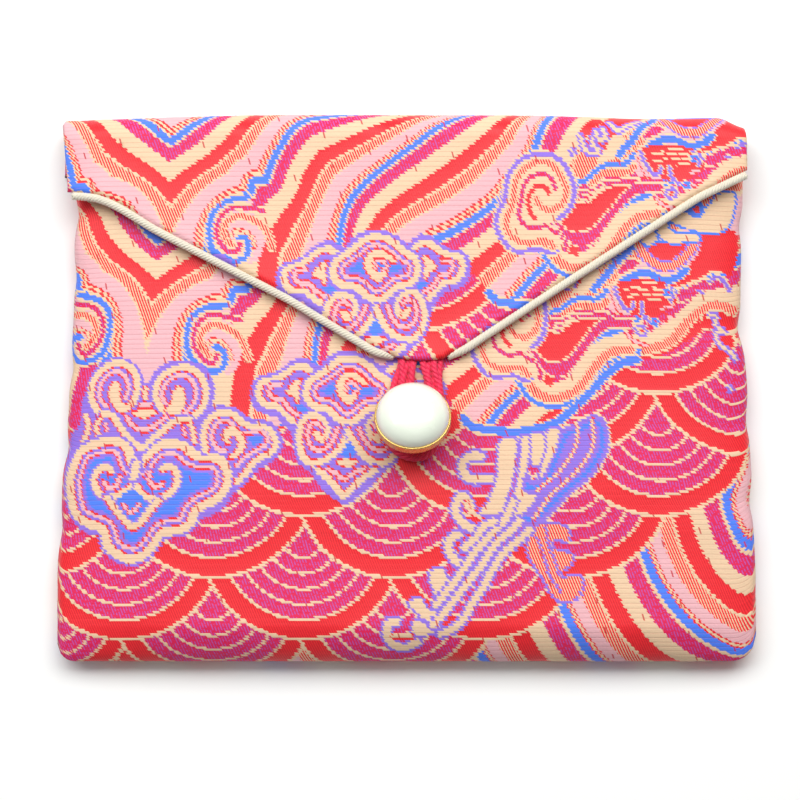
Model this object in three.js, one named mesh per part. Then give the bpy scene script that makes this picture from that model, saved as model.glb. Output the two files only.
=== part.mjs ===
// Brocade jewelry pouch lying on its back: a folded pocket, a pointed flap that rolls over the top
// edge, a corded flap edge, and a thread loop that catches a domed button.
// Millimetres. +X runs along the width, +Y towards the top fold, +Z up from the back panel.

import * as THREE from 'three';
import { ParametricGeometry } from 'three/addons/geometries/ParametricGeometry.js';
import { mergeVertices } from 'three/addons/utils/BufferGeometryUtils.js';

const { clamp, degToRad, lerp, smoothstep } = THREE.MathUtils;

// Cloth
const POUCH_HEIGHT = 95;
const BOTTOM_Y = -POUCH_HEIGHT / 2;
const CLOTH = 1.3;
const CLEARANCE = 0.3;

// Pocket: the side seams and the height of the front's crown, from the bottom fold up to the mouth
const MOUTH_Y = 37;
const POCKET_SECTIONS = [
  { y: BOTTOM_Y, left: -59.8, right: 59.9, crown: 7.4 },
  { y: -33, left: -60.0, right: 60.0, crown: 8.0 },
  { y: -18, left: -59.4, right: 59.6, crown: 8.5 },
  { y: -2, left: -58.4, right: 59.1, crown: 8.6 },
  { y: 14, left: -57.8, right: 58.1, crown: 8.5 },
  { y: MOUTH_Y, left: -57.9, right: 58.8, crown: 8.0 },
];
const SEAM_Z = 3.4;
const SIDE_ROUNDING = 5;
const BACK_ROUNDING = 9;
const BACK_FLATTENING = 0.4;
const BOTTOM_FOLD_RADIUS = 4.6;
const LEFT_CORNER_RADIUS = 3;
const RIGHT_CORNER_RADIUS = 4.3;

// Gathers that pull the side seams in
const PUCKER_LENGTH = 2.6;
const SEAM_PUCKERS = [
  { side: 'left', y: 30, pull: 0.7 },
  { side: 'left', y: 19, pull: 0.4 },
  { side: 'left', y: 3, pull: 0.5 },
  { side: 'left', y: -11, pull: 0.6 },
  { side: 'left', y: -25, pull: 0.4 },
  { side: 'right', y: 28, pull: 0.5 },
  { side: 'right', y: 10, pull: 0.7 },
  { side: 'right', y: -6, pull: 0.4 },
  { side: 'right', y: -20, pull: 0.5 },
];

// Flap: its lower edge from the left side to the right, with the columns of facets up to the next row
const FLAP_ROOT_Y = MOUTH_Y + CLEARANCE;
const FLAP_FOLD_Y = 43;
const FLAP_REST = 0.4;
const FLAP_SPREAD = 1.08;
const FLAP_HEM = 0.5;
const FLAP_EDGE = [
  { at: 'left side', x: -60.0, y: 35.3, columns: 1 },
  { at: 'left hem', x: -59.4, y: 35.2, columns: 3 },
  { at: 'left shoulder', x: -54.0, y: 34.4, columns: 3 },
  { at: 'left slope', x: -47.0, y: 31.2, columns: 13 },
  { at: 'left tip', x: -2.0, y: 4.6, columns: 2 },
  { at: 'tip', x: 2.2, y: 3.6, columns: 2 },
  { at: 'right tip', x: 6.6, y: 4.4, columns: 13 },
  { at: 'right slope', x: 50.0, y: 32.4, columns: 3 },
  { at: 'right hem', x: 58.6, y: 37.2, columns: 1 },
  { at: 'right side', x: 59.2, y: 37.6, columns: 0 },
];
const TOP_EDGE = [
  { x: -60, y: 46.7 },
  { x: -20, y: 47.5 },
  { x: 18, y: 47.4 },
  { x: 44, y: 46.8 },
  { x: 54, y: 47.1 },
  { x: 59.2, y: 45.4 },
];

// Piping along the flap's two slanting edges
const PIPING_RADIUS = 0.75;
const PIPING_GAP = 0.15;
const PIPING_BEND = 1;
const PIPING_RUNS = [
  { name: 'piping_left', from: -59.2, to: -1.9 },
  { name: 'piping_right', from: 6.5, to: 58.6 },
];

// Button and loop
const BUTTON = { x: 1.05, y: -9.1, tilt: 24 };
const DIMPLE = { depth: 0.6, spread: 7 };
const SHANK = { radius: 1.3, length: 4.2 };
const CUP = { radius: 6.5, bore: 6.15, neck: 3.5, bowl: 0.7, band: 2.2, floor: 1.0, lip: 0.3 };
const DOME = { radius: 6.0, height: 3.8, foot: 0.9, chamfer: 0.1 };
const STRAND = { halfWidth: 1.65, halfHeight: 0.95 };
const LOOP_ROUTE = [
  { x: 0.1, y: 3.1, z: 9.7 },
  { x: -0.6, y: -0.4, z: 9.55 },
  { x: -1.9, y: -4.6, z: 9.4 },
  { x: -2.4, y: -8.4, z: 9.3 },
  { x: -1.4, y: -11.2, z: 9.3 },
  { x: 1.05, y: -12.25, z: 9.3 },
  { x: 3.5, y: -11.2, z: 9.3 },
  { x: 4.5, y: -8.4, z: 9.3 },
  { x: 4.7, y: -4.6, z: 9.4 },
  { x: 4.6, y: -0.4, z: 9.55 },
  { x: 4.3, y: 3.1, z: 9.7 },
];

// Facets
const POCKET_FACETS = { across: 24, down: 16 };
const FLAP_FACETS = { back: 2, fold: 8, front: 9 };
const ROUND_FACETS = 24;
const DOME_FACETS = 7;
const MERGE_DISTANCE = 0.001;
const PIPING_FACETS = { sides: 8, steps: 22 };
const STRAND_FACETS = { sides: 10, steps: 36 };

const brocade = { color: 0xe8484c, roughness: 0.62, metalness: 0 };
const creamCord = { color: 0xe9dfc6, roughness: 0.75, metalness: 0 };
const crimsonThread = { color: 0xd83a5c, roughness: 0.55, metalness: 0 };
const gold = { color: 0xd6a54c, roughness: 0.25, metalness: 1 };
const whiteGlaze = { color: 0xf8f7ee, roughness: 0.12, metalness: 0 };

// A column of a table at a place between two rows, eased from row to row
function eased(rows, key, place, column) {
  const last = rows.length - 1;
  const after = rows.findIndex((row) => row[key] > place);
  if (after < 0) return rows[last][column];
  if (after === 0) return rows[0][column];
  const low = rows[after - 1];
  const high = rows[after];
  return lerp(low[column], high[column], smoothstep(place, low[key], high[key]));
}

// The flap's lower edge is straight from row to row
function flapEdgeY(x) {
  const after = Math.max(1, FLAP_EDGE.findIndex((row) => row.x >= x));
  const low = FLAP_EDGE[after - 1];
  const high = FLAP_EDGE[after];
  return lerp(low.y, high.y, (x - low.x) / (high.x - low.x));
}

// A side seam's place at a height on the pouch, with its gathers
function seamX(side, y) {
  const inward = side === 'left' ? 1 : -1;
  const pulls = SEAM_PUCKERS.filter((pucker) => pucker.side === side)
    .map((pucker) => pucker.pull * Math.exp(-(((y - pucker.y) / PUCKER_LENGTH) ** 2)));
  return eased(POCKET_SECTIONS, 'y', y, side) + inward * pulls.reduce((sum, pull) => sum + pull, 0);
}

function dimple(x, y) {
  const away = ((x - BUTTON.x) ** 2 + (y - BUTTON.y) ** 2) / DIMPLE.spread ** 2;
  return DIMPLE.depth * Math.exp(-away);
}

function rounded(across, power) {
  return Math.sqrt(1 - Math.abs(across) ** power);
}

// The lowest point of the pocket at a place across it, with the corners rounded
function pocketBottomY(across, inset) {
  const radius = across < 0 ? LEFT_CORNER_RADIUS : RIGHT_CORNER_RADIUS;
  const half = across < 0 ? -POCKET_SECTIONS[0].left : POCKET_SECTIONS[0].right;
  const past = clamp((Math.abs(across) * half - (half - radius)) / radius, 0, 1);
  return BOTTOM_Y + inset + radius * (1 - Math.sqrt(1 - past * past));
}

// A point on the front (face 1) or back (face -1) wall, on its outside or inset by the cloth
function pocketPoint(across, down, face, inset, target) {
  const bottomY = pocketBottomY(across, inset);
  const y = lerp(MOUTH_Y, bottomY, down);
  const x = lerp(seamX('left', y) + inset, seamX('right', y) - inset, (across + 1) / 2);
  const foldRise = rounded(1 - clamp((y - bottomY) / BOTTOM_FOLD_RADIUS, 0, 1), 2);
  if (face > 0) {
    const crown = eased(POCKET_SECTIONS, 'y', y, 'crown') - inset - SEAM_Z;
    const lift = rounded(across, SIDE_ROUNDING) * foldRise;
    return target.set(x, y, SEAM_Z + crown * lift - dimple(x, y) * lift);
  }
  const drop = (SEAM_Z - inset + BACK_FLATTENING) * rounded(across, BACK_ROUNDING) * foldRise;
  return target.set(x, y, Math.max(inset, SEAM_Z - drop));
}

// Height of the front's outside, with the crown drawn out sideways where it carries the flap
function frontZ(x, y, spread) {
  const level = Math.min(y, MOUTH_Y);
  const left = eased(POCKET_SECTIONS, 'y', level, 'left');
  const right = eased(POCKET_SECTIONS, 'y', level, 'right');
  const across = clamp((2 * x - left - right) / (right - left) / spread, -1, 1);
  const crown = eased(POCKET_SECTIONS, 'y', level, 'crown') - SEAM_Z;
  return SEAM_Z + crown * rounded(across, SIDE_ROUNDING);
}

function flapMidZ(x, y) {
  return frontZ(x, y, FLAP_SPREAD) + FLAP_REST + CLOTH / 2;
}

// A surface that closes on itself, with its shared vertices merged and collapsed facets dropped
function closedSurface(pointAt, slices, stacks) {
  const surface = new ParametricGeometry(pointAt, slices, stacks);
  surface.deleteAttribute('normal');
  surface.deleteAttribute('uv');
  const merged = mergeVertices(surface, MERGE_DISTANCE);
  const index = merged.getIndex().array;
  const kept = [];
  for (let i = 0; i < index.length; i += 3) {
    const [a, b, c] = [index[i], index[i + 1], index[i + 2]];
    if (a !== b && b !== c && c !== a) kept.push(a, b, c);
  }
  merged.setIndex(kept);
  merged.computeVertexNormals();
  return merged;
}

// The pocket is turned like a sock: up the outside from the bottom fold, over the mouth, down the inside
function pocketGeometry() {
  const { across: columns, down: rows } = POCKET_FACETS;
  const rounds = 2 * columns;
  const stacks = 2 * rows + 1;
  const pointAt = (u, v, target) => {
    const turn = (2 * Math.round(u * rounds)) / rounds;
    const face = turn <= 1 ? 1 : -1;
    const sweep = turn <= 1 ? 2 * turn - 1 : 3 - 2 * turn;
    const across = Math.sin((sweep * Math.PI) / 2);
    const row = Math.round(v * stacks);
    const inside = row > rows;
    const step = inside ? (row - rows - 1) / rows : (rows - row) / rows;
    const down = Math.sin((step * Math.PI) / 2);
    return pocketPoint(across, down, face, inside ? CLOTH : 0, target);
  };
  return closedSurface(pointAt, rounds, stacks);
}

function flapColumns() {
  const xs = FLAP_EDGE.flatMap((row, i) => {
    const next = FLAP_EDGE[i + 1];
    return Array.from({ length: row.columns }, (_, k) => lerp(row.x, next.x, k / row.columns));
  });
  return [...xs, FLAP_EDGE.at(-1).x];
}

// The middle of the flap's cloth: along the table, round the top fold and down over the front
function flapMiddle(x, row, target) {
  const { back, fold, front } = FLAP_FACETS;
  const lowZ = CLOTH / 2;
  if (row <= back) {
    const hem = FLAP_HEM / (FLAP_FOLD_Y - FLAP_ROOT_Y);
    const along = row === 0 ? 0 : lerp(hem, 1, (row - 1) / (back - 1));
    return target.set(x, lerp(FLAP_ROOT_Y, FLAP_FOLD_Y, along), lowZ);
  }
  if (row <= back + fold) {
    const turn = (Math.PI * (row - back)) / fold;
    const reach = eased(TOP_EDGE, 'x', x, 'y') - CLOTH / 2 - FLAP_FOLD_Y;
    const rise = (flapMidZ(x, FLAP_FOLD_Y) - lowZ) * (1 - Math.cos(turn)) / 2;
    return target.set(x, FLAP_FOLD_Y + reach * Math.sin(turn), lowZ + rise);
  }
  const edgeY = flapEdgeY(x);
  const step = row - back - fold;
  const hem = FLAP_HEM / (FLAP_FOLD_Y - edgeY);
  const along = step === front ? 1 : ((1 - hem) * step) / (front - 1);
  const y = lerp(FLAP_FOLD_Y, edgeY, along);
  return target.set(x, y, flapMidZ(x, y));
}

// The flap's cloth closes at its hems, where both faces meet on the middle
function flapGeometry() {
  const xs = flapColumns();
  const rows = FLAP_FACETS.back + FLAP_FACETS.fold + FLAP_FACETS.front;
  const before = new THREE.Vector3();
  const after = new THREE.Vector3();
  const pointAt = (u, v, target) => {
    const column = Math.round(u * (xs.length - 1));
    const walk = Math.round(v * 2 * rows);
    const face = walk <= rows ? -1 : 1;
    const row = walk <= rows ? walk : 2 * rows - walk;
    const atHem = column === 0 || column === xs.length - 1 || row === 0 || row === rows;
    flapMiddle(xs[column], row, target);
    if (atHem) return target;
    flapMiddle(xs[column], row - 1, before);
    flapMiddle(xs[column], row + 1, after);
    const along = after.sub(before).normalize();
    return target.add(new THREE.Vector3(0, along.z, -along.y).multiplyScalar(face * CLOTH / 2));
  };
  return closedSurface(pointAt, xs.length - 1, 2 * rows);
}

// A cord of elliptical section along a nearly level curve, on which the section's first axis stands upright
function cordGeometry(points, halfWidth, halfHeight, { sides, steps }) {
  const corners = Array.from({ length: sides }, (_, i) => {
    const turn = (2 * Math.PI * i) / sides;
    return new THREE.Vector2(halfHeight * Math.cos(turn), halfWidth * Math.sin(turn));
  });
  const extrudePath = new THREE.CatmullRomCurve3(points, false, 'centripetal');
  return new THREE.ExtrudeGeometry(new THREE.Shape(corners), { steps, bevelEnabled: false, extrudePath });
}

// The piping lies just outside the flap's edge, level with the middle of its cloth
function pipingGeometry({ from, to }) {
  const offset = PIPING_RADIUS + PIPING_GAP;
  const corners = FLAP_EDGE.map((row) => row.x).filter((x) => x > from + PIPING_BEND && x < to - PIPING_BEND);
  const points = [from, ...corners, to].map((x) => {
    const left = Math.max(x - PIPING_BEND, from);
    const right = Math.min(x + PIPING_BEND, to);
    const slope = (flapEdgeY(right) - flapEdgeY(left)) / (right - left);
    const out = new THREE.Vector2(slope, -1).setLength(offset);
    const y = flapEdgeY(x);
    return new THREE.Vector3(x + out.x, y + out.y, flapMidZ(x, y));
  });
  return cordGeometry(points, PIPING_RADIUS, PIPING_RADIUS, PIPING_FACETS);
}

function loopGeometry() {
  const points = LOOP_ROUTE.map(({ x, y, z }) => new THREE.Vector3(x, y, z));
  return cordGeometry(points, STRAND.halfWidth, STRAND.halfHeight, STRAND_FACETS);
}

// A turned piece on the button's own axis, from radius and height pairs
function turnedGeometry(profile) {
  const points = profile.map(([radius, height]) => new THREE.Vector2(radius, height));
  return new THREE.LatheGeometry(points, ROUND_FACETS).rotateX(Math.PI / 2);
}

// The gold cup, its rolled rim and the shank under it are one soldered piece
function settingGeometry() {
  const under = SHANK.length;
  const rim = under + CUP.band;
  return turnedGeometry([
    [0, 0],
    [SHANK.radius, 0],
    [SHANK.radius, under],
    [CUP.neck, under],
    [CUP.radius - CUP.bowl, under + CUP.lip],
    [CUP.radius, under + CUP.floor],
    [CUP.radius, rim - CUP.lip],
    [(CUP.radius + CUP.bore) / 2, rim],
    [CUP.bore, rim - CUP.lip],
    [CUP.bore, under + CUP.floor],
    [0, under + CUP.floor],
  ]);
}

function cabochonGeometry() {
  const foot = SHANK.length + CUP.floor + CLEARANCE;
  const girdle = foot + DOME.foot;
  const dome = Array.from({ length: DOME_FACETS + 1 }, (_, i) => {
    const turn = (Math.PI * i) / (2 * DOME_FACETS);
    const radius = i === DOME_FACETS ? 0 : DOME.radius * Math.cos(turn);
    return [radius, girdle + DOME.height * Math.sin(turn)];
  });
  return turnedGeometry([[0, foot], [DOME.radius - DOME.chamfer, foot], ...dome]);
}

function piece(name, geometry, finish) {
  const mesh = new THREE.Mesh(geometry, new THREE.MeshStandardMaterial(finish));
  mesh.name = name;
  return mesh;
}

const button = new THREE.Group();
const buttonSeat = frontZ(BUTTON.x, BUTTON.y, 1) - DIMPLE.depth + CLEARANCE;
button.position.set(BUTTON.x, BUTTON.y, buttonSeat + SHANK.radius * Math.sin(degToRad(BUTTON.tilt)));
button.rotation.x = -degToRad(BUTTON.tilt);
button.add(
  piece('button_setting', settingGeometry(), gold),
  piece('button_cabochon', cabochonGeometry(), whiteGlaze),
);

const pouch = new THREE.Group();
pouch.add(
  piece('pouch_body', pocketGeometry(), brocade),
  piece('flap', flapGeometry(), brocade),
  ...PIPING_RUNS.map((run) => piece(run.name, pipingGeometry(run), creamCord)),
  piece('button_loop', loopGeometry(), crimsonThread),
  button,
);

export default pouch;
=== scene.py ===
import math

import bmesh
import bpy
import numpy as np
from bpy.props import (
    FloatProperty,
    FloatVectorProperty,
    IntProperty,
    PointerProperty,
)
from mathutils import Matrix, Vector


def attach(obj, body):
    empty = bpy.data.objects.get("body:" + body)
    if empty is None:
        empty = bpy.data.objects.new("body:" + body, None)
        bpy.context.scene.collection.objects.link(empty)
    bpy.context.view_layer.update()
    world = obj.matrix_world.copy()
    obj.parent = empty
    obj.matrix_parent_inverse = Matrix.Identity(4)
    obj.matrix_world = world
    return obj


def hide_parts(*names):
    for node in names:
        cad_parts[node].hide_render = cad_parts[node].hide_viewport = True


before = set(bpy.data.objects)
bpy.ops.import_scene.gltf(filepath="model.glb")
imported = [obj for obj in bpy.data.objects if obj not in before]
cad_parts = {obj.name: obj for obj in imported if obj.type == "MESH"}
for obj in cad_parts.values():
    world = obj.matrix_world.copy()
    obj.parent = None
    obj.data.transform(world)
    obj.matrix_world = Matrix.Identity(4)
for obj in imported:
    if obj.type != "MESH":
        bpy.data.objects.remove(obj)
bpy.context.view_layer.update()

bl_info = {
    "name": "Brocade jewelry pouch",
    "version": (1, 0, 0),
    "blender": (4, 5, 0),
    "location": "View3D > Sidebar > Pouch",
    "description": "Dresses a folded brocade pouch with its weave, piping, loop and button",
    "category": "Object",
}

MM = 0.001

# Pocket: y, left seam, right seam and crown height from the bottom fold up to the mouth, in mm
POCKET_SECTIONS = np.array((
    (-47.5, -59.8, 59.9, 7.8),
    (-33.0, -60.0, 60.0, 8.0),
    (-18.0, -59.4, 59.6, 8.5),
    (-2.0, -58.4, 59.1, 8.6),
    (14.0, -57.8, 58.1, 8.5),
    (37.0, -57.9, 58.8, 8.0),
))
LEFT, RIGHT, CROWN = 1, 2, 3
MOUTH_Y = 37.0
BOTTOM_Y = -47.5
SEAM_Z = 3.4
SIDE_ROUNDING = 5
BACK_ROUNDING = 9
BACK_FLATTENING = 0.4
BOTTOM_FOLD, FOLD_POWER = 6.0, 1.5
CORNER_LEFT, CORNER_RIGHT = 3.0, 4.3

# Gathers of the side seams: y and how far each pulls the seam in, in mm
LEFT_PUCKERS = np.array(((30, 0.7), (19, 0.4), (3, 0.5), (-11, 0.6), (-25, 0.4)))
RIGHT_PUCKERS = np.array(((28, 0.5), (10, 0.7), (-6, 0.4), (-20, 0.5)))
PUCKER_LENGTH = 2.6

# Flap: its lower edge and its top fold as x, y pairs, in mm
FLAP_EDGE = np.array((
    (-60.0, 33.6), (-59.4, 33.5), (-53.5, 32.8), (-49.1, 30.8), (-43.0, 26.9), (-30.4, 20.2), (-20.0, 14.7),
    (-5.6, 5.9), (-1.6, 4.1), (2.2, 3.4), (6.4, 3.9), (50.0, 32.6), (58.6, 37.0), (59.2, 37.4),
))
TOP_EDGE = np.array((
    (-60.0, 46.7), (-20.0, 47.5), (18.0, 47.4), (44.0, 46.8), (54.0, 47.1), (59.2, 45.4),
))
FLAP_ROOT_Y = 37.3
FLAP_FOLD_Y = 43.0
FLAP_REST = 0.4
FLAP_SPREAD = 1.08
FOLD_ARC = 12.4

# Piping: radius, how far it presses into the flap's edge and tucks in at the tip,
# and where each run goes, in mm
PIPING_RADIUS = 0.75
PIPING_SINK, PIPING_TUCK = 0.15, 0.8
PIPING_RUNS = (("piping_left", -58.6, -2.0), ("piping_right", 6.8, 58.6))

# Button and loop, in mm
BUTTON_X, BUTTON_Y = 1.05, -9.1
BUTTON_TILT = 24.0
DIMPLE_DEPTH, DIMPLE_SPREAD = 0.6, 7.0
CLEARANCE = 0.3
SHANK_RADIUS, SHANK_LENGTH, SHANK_BEVEL, SHANK_FLARE = 1.3, 4.2, 0.2, 0.3
CUP_RADIUS, CUP_DEPTH, CUP_FLOOR, CUP_ROUNDING = 6.5, 2.2, 1.0, 1.0
CUP_FOOT_RADIUS, RIM_ROUNDING, RIM_STEP = 3.5, 0.18, 0.3
DOME_RADIUS, DOME_FOOT, DOME_BEVEL, DOME_GIRDLE, DOME_RISE = 6.2, 1.3, 0.2, 0.9, 3.8
LOOP_ROUTE = np.array((
    (0.1, 4.6, 8.9), (0.1, 3.1, 9.4), (-0.6, -0.4, 9.5), (-1.9, -4.6, 9.4), (-2.4, -8.4, 9.3),
    (-1.4, -11.2, 9.3), (1.05, -12.25, 9.3), (3.5, -11.2, 9.3),
    (4.5, -8.4, 9.3), (4.7, -4.6, 9.4), (4.6, -0.4, 9.5), (4.3, 3.1, 9.4), (4.3, 4.6, 8.9),
))
STRAND_HALF_WIDTH, STRAND_HALF_HEIGHT = 1.9, 0.95
STRAND_TUCK = 3.0

# Cloth: thickness, hem, spacing of warp and weft, and how far the ends of floats stagger,
# stray and slant, in mm
CLOTH = 1.3
HEM = 0.7
HALF_WIDTH = 60.0
COLUMNS, PANEL_ROWS, INSIDE_ROWS = 220, 205, 10
WARP, WEFT = 2 * HALF_WIDTH / COLUMNS, 0.43
STAGGER, STRAY = 0.24, 0.1
REPEAT = 93.5
FLOAT_SPAN, FLOAT_SLANT, FLOAT_PARTS = 1.6, 0.8, 6
YARN_LIFT = np.array((-0.4, 1.0, 0.9, 0.8, 0.8, 0.1, 0.3))

# How the cloth lies: height and length of its soft waves, lift of the flap's edge
# and slant of its side, in mm
SWAY, SWAY_LENGTH = 0.16, 7.5
EDGE_LIFT, EDGE_REACH = 0.5, 9.0
SIDE_SLANT, SIDE_REACH = 1.1, 7.0
SLANT_START, SLANT_LENGTH = 4.0, 12.0

# Woven lines: spacing in mm, lean as mm across for each mm along, and width as a share of the spacing
SATIN_PITCH, SATIN_LEAN, SATIN_WIDTH = 0.42, 0.4, 0.42
HATCH_PITCH, HATCH_LEAN, HATCH_WIDTH = 0.47, 0.4, 0.58
FLECK_PITCH, FLECK_LEAN, FLECK_WIDTH = 0.5, 0.35, 0.42
TIE_PITCH, TIE_LEAN, TIE_WIDTH = 7.1, 0.28, 0.04
TIE_REACH, TIE_LENGTH, TIE_SLOPE = 4.7, 0.22, 0.37

# How strongly satin lines, flecks and tie-down stitches show, and how dark the painted shade in the grooves
# between ribs is
SATIN_SHARE, FLECK_SHARE, TIE_SHARE, GROOVE_SHADE_SHARE = 0.5, 0.48, 0.8, 0.36

# Facets and spacing of the cords, in mm
PIPING_POINTS, PLY_SHARE, PLY_SIDES, CORE_SHARE = 20, 0.42, 6, 0.45
THREAD_SIDES, LOOP_STEP, PLY_RADIUS = 6, 0.3, 0.62
GOLDEN_TURN = math.pi * (3 - math.sqrt(5))
TURNED_STEPS, ARC_STEPS, DOME_STEPS = 96, 8, 24

# Stage, in metres and watts
FLOOR_SIZE, FLOOR_DROP = 2.0, 0.0001
SKY_STRENGTH = 0.14
KEY_PLACE, KEY_SIZE, KEY_POWER = (-0.04, 0.37, 0.57), (1.3, 0.45), 8.6
TOP_PLACE, TOP_SIZE, TOP_POWER = (0.1, 0.1, 0.9), (0.8, 0.8), 1.3
CAMERA_AIM = (-0.00111, -0.00249, 0.004)
CAMERA_DISTANCE, CAMERA_ELEVATION = 0.5, 83.0
CAMERA_LENS, CAMERA_SENSOR = 130.0, 36.0

# Yarns, by the number that a cell of the weave carries
YARNS = ("red", "cream", "pink", "blue", "lilac", "magenta", "hatch")
RED, CREAM, PINK, BLUE, LILAC, MAGENTA, HATCH = range(len(YARNS))

# Where each band of a motif ends and its yarn: shares of a repeat, or mm from the charted line
BANDS = {
    "water": (
        (0.042, BLUE), (0.066, CREAM), (0.2, MAGENTA), (0.375, CREAM), (0.535, RED), (0.565, CREAM),
        (0.68, HATCH), (0.7, CREAM), (0.875, PINK), (0.895, RED), (0.92, CREAM), (0.94, RED),
        (0.96, CREAM), (1, BLUE),
    ),
    "pond": (
        (0.06, BLUE), (0.1, CREAM), (0.27, MAGENTA), (0.44, CREAM), (0.62, RED), (0.65, CREAM),
        (0.79, HATCH), (0.915, PINK), (0.93, RED), (0.955, CREAM), (0.97, RED), (1, BLUE),
    ),
    "scale": (
        (3.1, MAGENTA), (3.6, CREAM), (5.8, MAGENTA), (6.27, CREAM), (8.4, MAGENTA), (8.87, CREAM),
        (11, MAGENTA), (11.47, CREAM), (13.6, MAGENTA), (14.1, CREAM), (17, RED), (17.5, CREAM),
    ),
    "dragon_back": (
        (-2.7, CREAM), (-0.72, CREAM), (0.72, HATCH), (1.1, CREAM), (1.85, BLUE), (2.1, CREAM),
    ),
    "dragon_tail": ((-2.5, CREAM), (-0.72, CREAM), (0.72, HATCH), (1.1, CREAM), (1.5, RED)),
    "dragon_coil": (
        (-5, RED), (-3.3, RED), (-2.95, CREAM), (-2.2, MAGENTA), (-0.6, CREAM), (0.6, HATCH), (0.9, CREAM),
        (1.6, LILAC), (1.9, CREAM),
    ),
    "red_patch": ((-0.35, CREAM), (0, CREAM), (9, RED)),
    "red_field": ((0, RED), (9, RED)),
    "cream_patch": ((0, CREAM), (9, CREAM)),
    "hatch_patch": ((-0.25, CREAM), (0, CREAM), (9, HATCH)),
    "flank": ((-0.3, CREAM), (0, CREAM), (9, MAGENTA)),
    "wedge": ((-0.3, CREAM), (0, CREAM), (9, MAGENTA)),
    "jaw": ((0, MAGENTA), (9, MAGENTA)),
    "belly": ((0.7, BLUE), (0.95, CREAM)),
    "hatch_line": ((0.55, HATCH), (0.75, CREAM)),
    "jaw_blue": ((0.42, BLUE), (0.62, CREAM)),
    "brow": ((0.62, BLUE), (0.85, CREAM)),
    "horn": ((0.72, HATCH), (1.02, LILAC)),
    "mane": ((0.35, MAGENTA), (0.95, MAGENTA), (1.25, CREAM)),
    "mask_line": ((0.32, LILAC), (0.5, CREAM)),
    "tick": ((0.22, CREAM),),
    "curl": ((0.3, CREAM), (0.68, LILAC)),
    "flower": ((0.35, RED), (0.65, CREAM), (1.15, LILAC), (1.4, CREAM)),
    "eye": ((0.25, MAGENTA), (0.75, BLUE), (0.95, CREAM)),
    "bead": ((0.3, CREAM), (0.75, LILAC)),
    "petal_blue": ((-0.4, BLUE), (0, BLUE), (9, CREAM)),
    "oval": ((0.6, RED), (1.5, BLUE)),
    "cloud_ground": ((-0.3, LILAC), (9, LILAC)),
    "cloud_head": (
        (-0.45, LILAC), (0, LILAC), (1.5, CREAM), (1.72, RED), (2.2, LILAC), (2.75, PINK), (3, RED),
        (3.6, LILAC), (9, BLUE),
    ),
    "feather": ((-0.3, CREAM), (0, CREAM), (0.9, LILAC), (1.6, BLUE), (9, LILAC)),
    "vane": ((0.22, CREAM), (0.34, RED)),
    "flame": ((-0.45, LILAC), (0, LILAC), (9, HATCH)),
    "foam": ((1.1, CREAM), (1.5, LILAC)),
    "scroll_pink": ((0, PINK), (9, PINK)),
    "scroll_hatch": ((0.5, HATCH), (0.8, CREAM)),
    "scroll_magenta": ((0.42, MAGENTA), (0.72, CREAM)),
    "scroll_blue": ((0.5, BLUE), (0.85, CREAM)),
    "scroll_core": ((0.24, CREAM), (0.42, RED)),
    "coil_red": ((0.4, RED),),
    "coil_hatch": ((0.5, HATCH), (0.7, CREAM)),
    "coil_magenta": ((0.36, MAGENTA), (0.66, CREAM)),
    "coil_line": ((0.4, LILAC), (0.68, CREAM)),
    "curl_ring": ((-0.9, LILAC), (-0.58, LILAC), (0.58, CREAM), (0.8, RED), (1.1, LILAC)),
    "pink_ring": ((-0.42, LILAC), (-0.34, LILAC), (0.34, PINK), (0.58, RED), (0.7, LILAC)),
    "comma": ((-0.25, RED), (0, RED), (9, CREAM)),
    "small_cloud": (
        (-0.45, LILAC), (0, LILAC), (1.25, CREAM), (1.45, RED), (1.8, LILAC), (2.35, PINK), (2.6, RED),
        (3.2, LILAC), (9, BLUE),
    ),
    "dash": ((0.42, CREAM), (0.6, RED)),
    "pink_dash": ((0.25, PINK), (0.45, RED)),
    "red_dash": ((0.3, RED),),
    "blue_patch": ((0, BLUE), (9, BLUE)),
    "trunk": ((-0.42, LILAC), (0, LILAC), (9, CREAM)),
    "band": ((0.6, CREAM), (1.05, LILAC)),
    "hook": ((0.7, CREAM), (1.16, LILAC)),
    "flame_line": ((0.22, LILAC),),
}

# Crops of the photo that the design is charted on: left and top in the photo's pixels, and enlargement
ENLARGED_WIDTH = 1568
CROPS = {
    "photo": (0, 0, 1),
    "upper left": (50, 105, 4.3556),
    "upper right": (400, 105, 4.3556),
    "heart": (55, 340, ENLARGED_WIDTH / 235),
    "middle": (240, 345, ENLARGED_WIDTH / 230),
    "foam": (375, 420, ENLARGED_WIDTH / 245),
    "flap dragon": (470, 105, ENLARGED_WIDTH / 280),
    "dragon": (480, 240, ENLARGED_WIDTH / 270),
    "scroll": (190, 165, 12),
    "coil": (490, 140, 11),
}
PHOTO_CENTRE, PHOTO_FOCUS = 400, 2889

# Mean heights of the cloth that the charted points lie on, in mm
FRONT_MEAN_Z, FLAP_MEAN_Z = 8.3, 10.0

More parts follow.
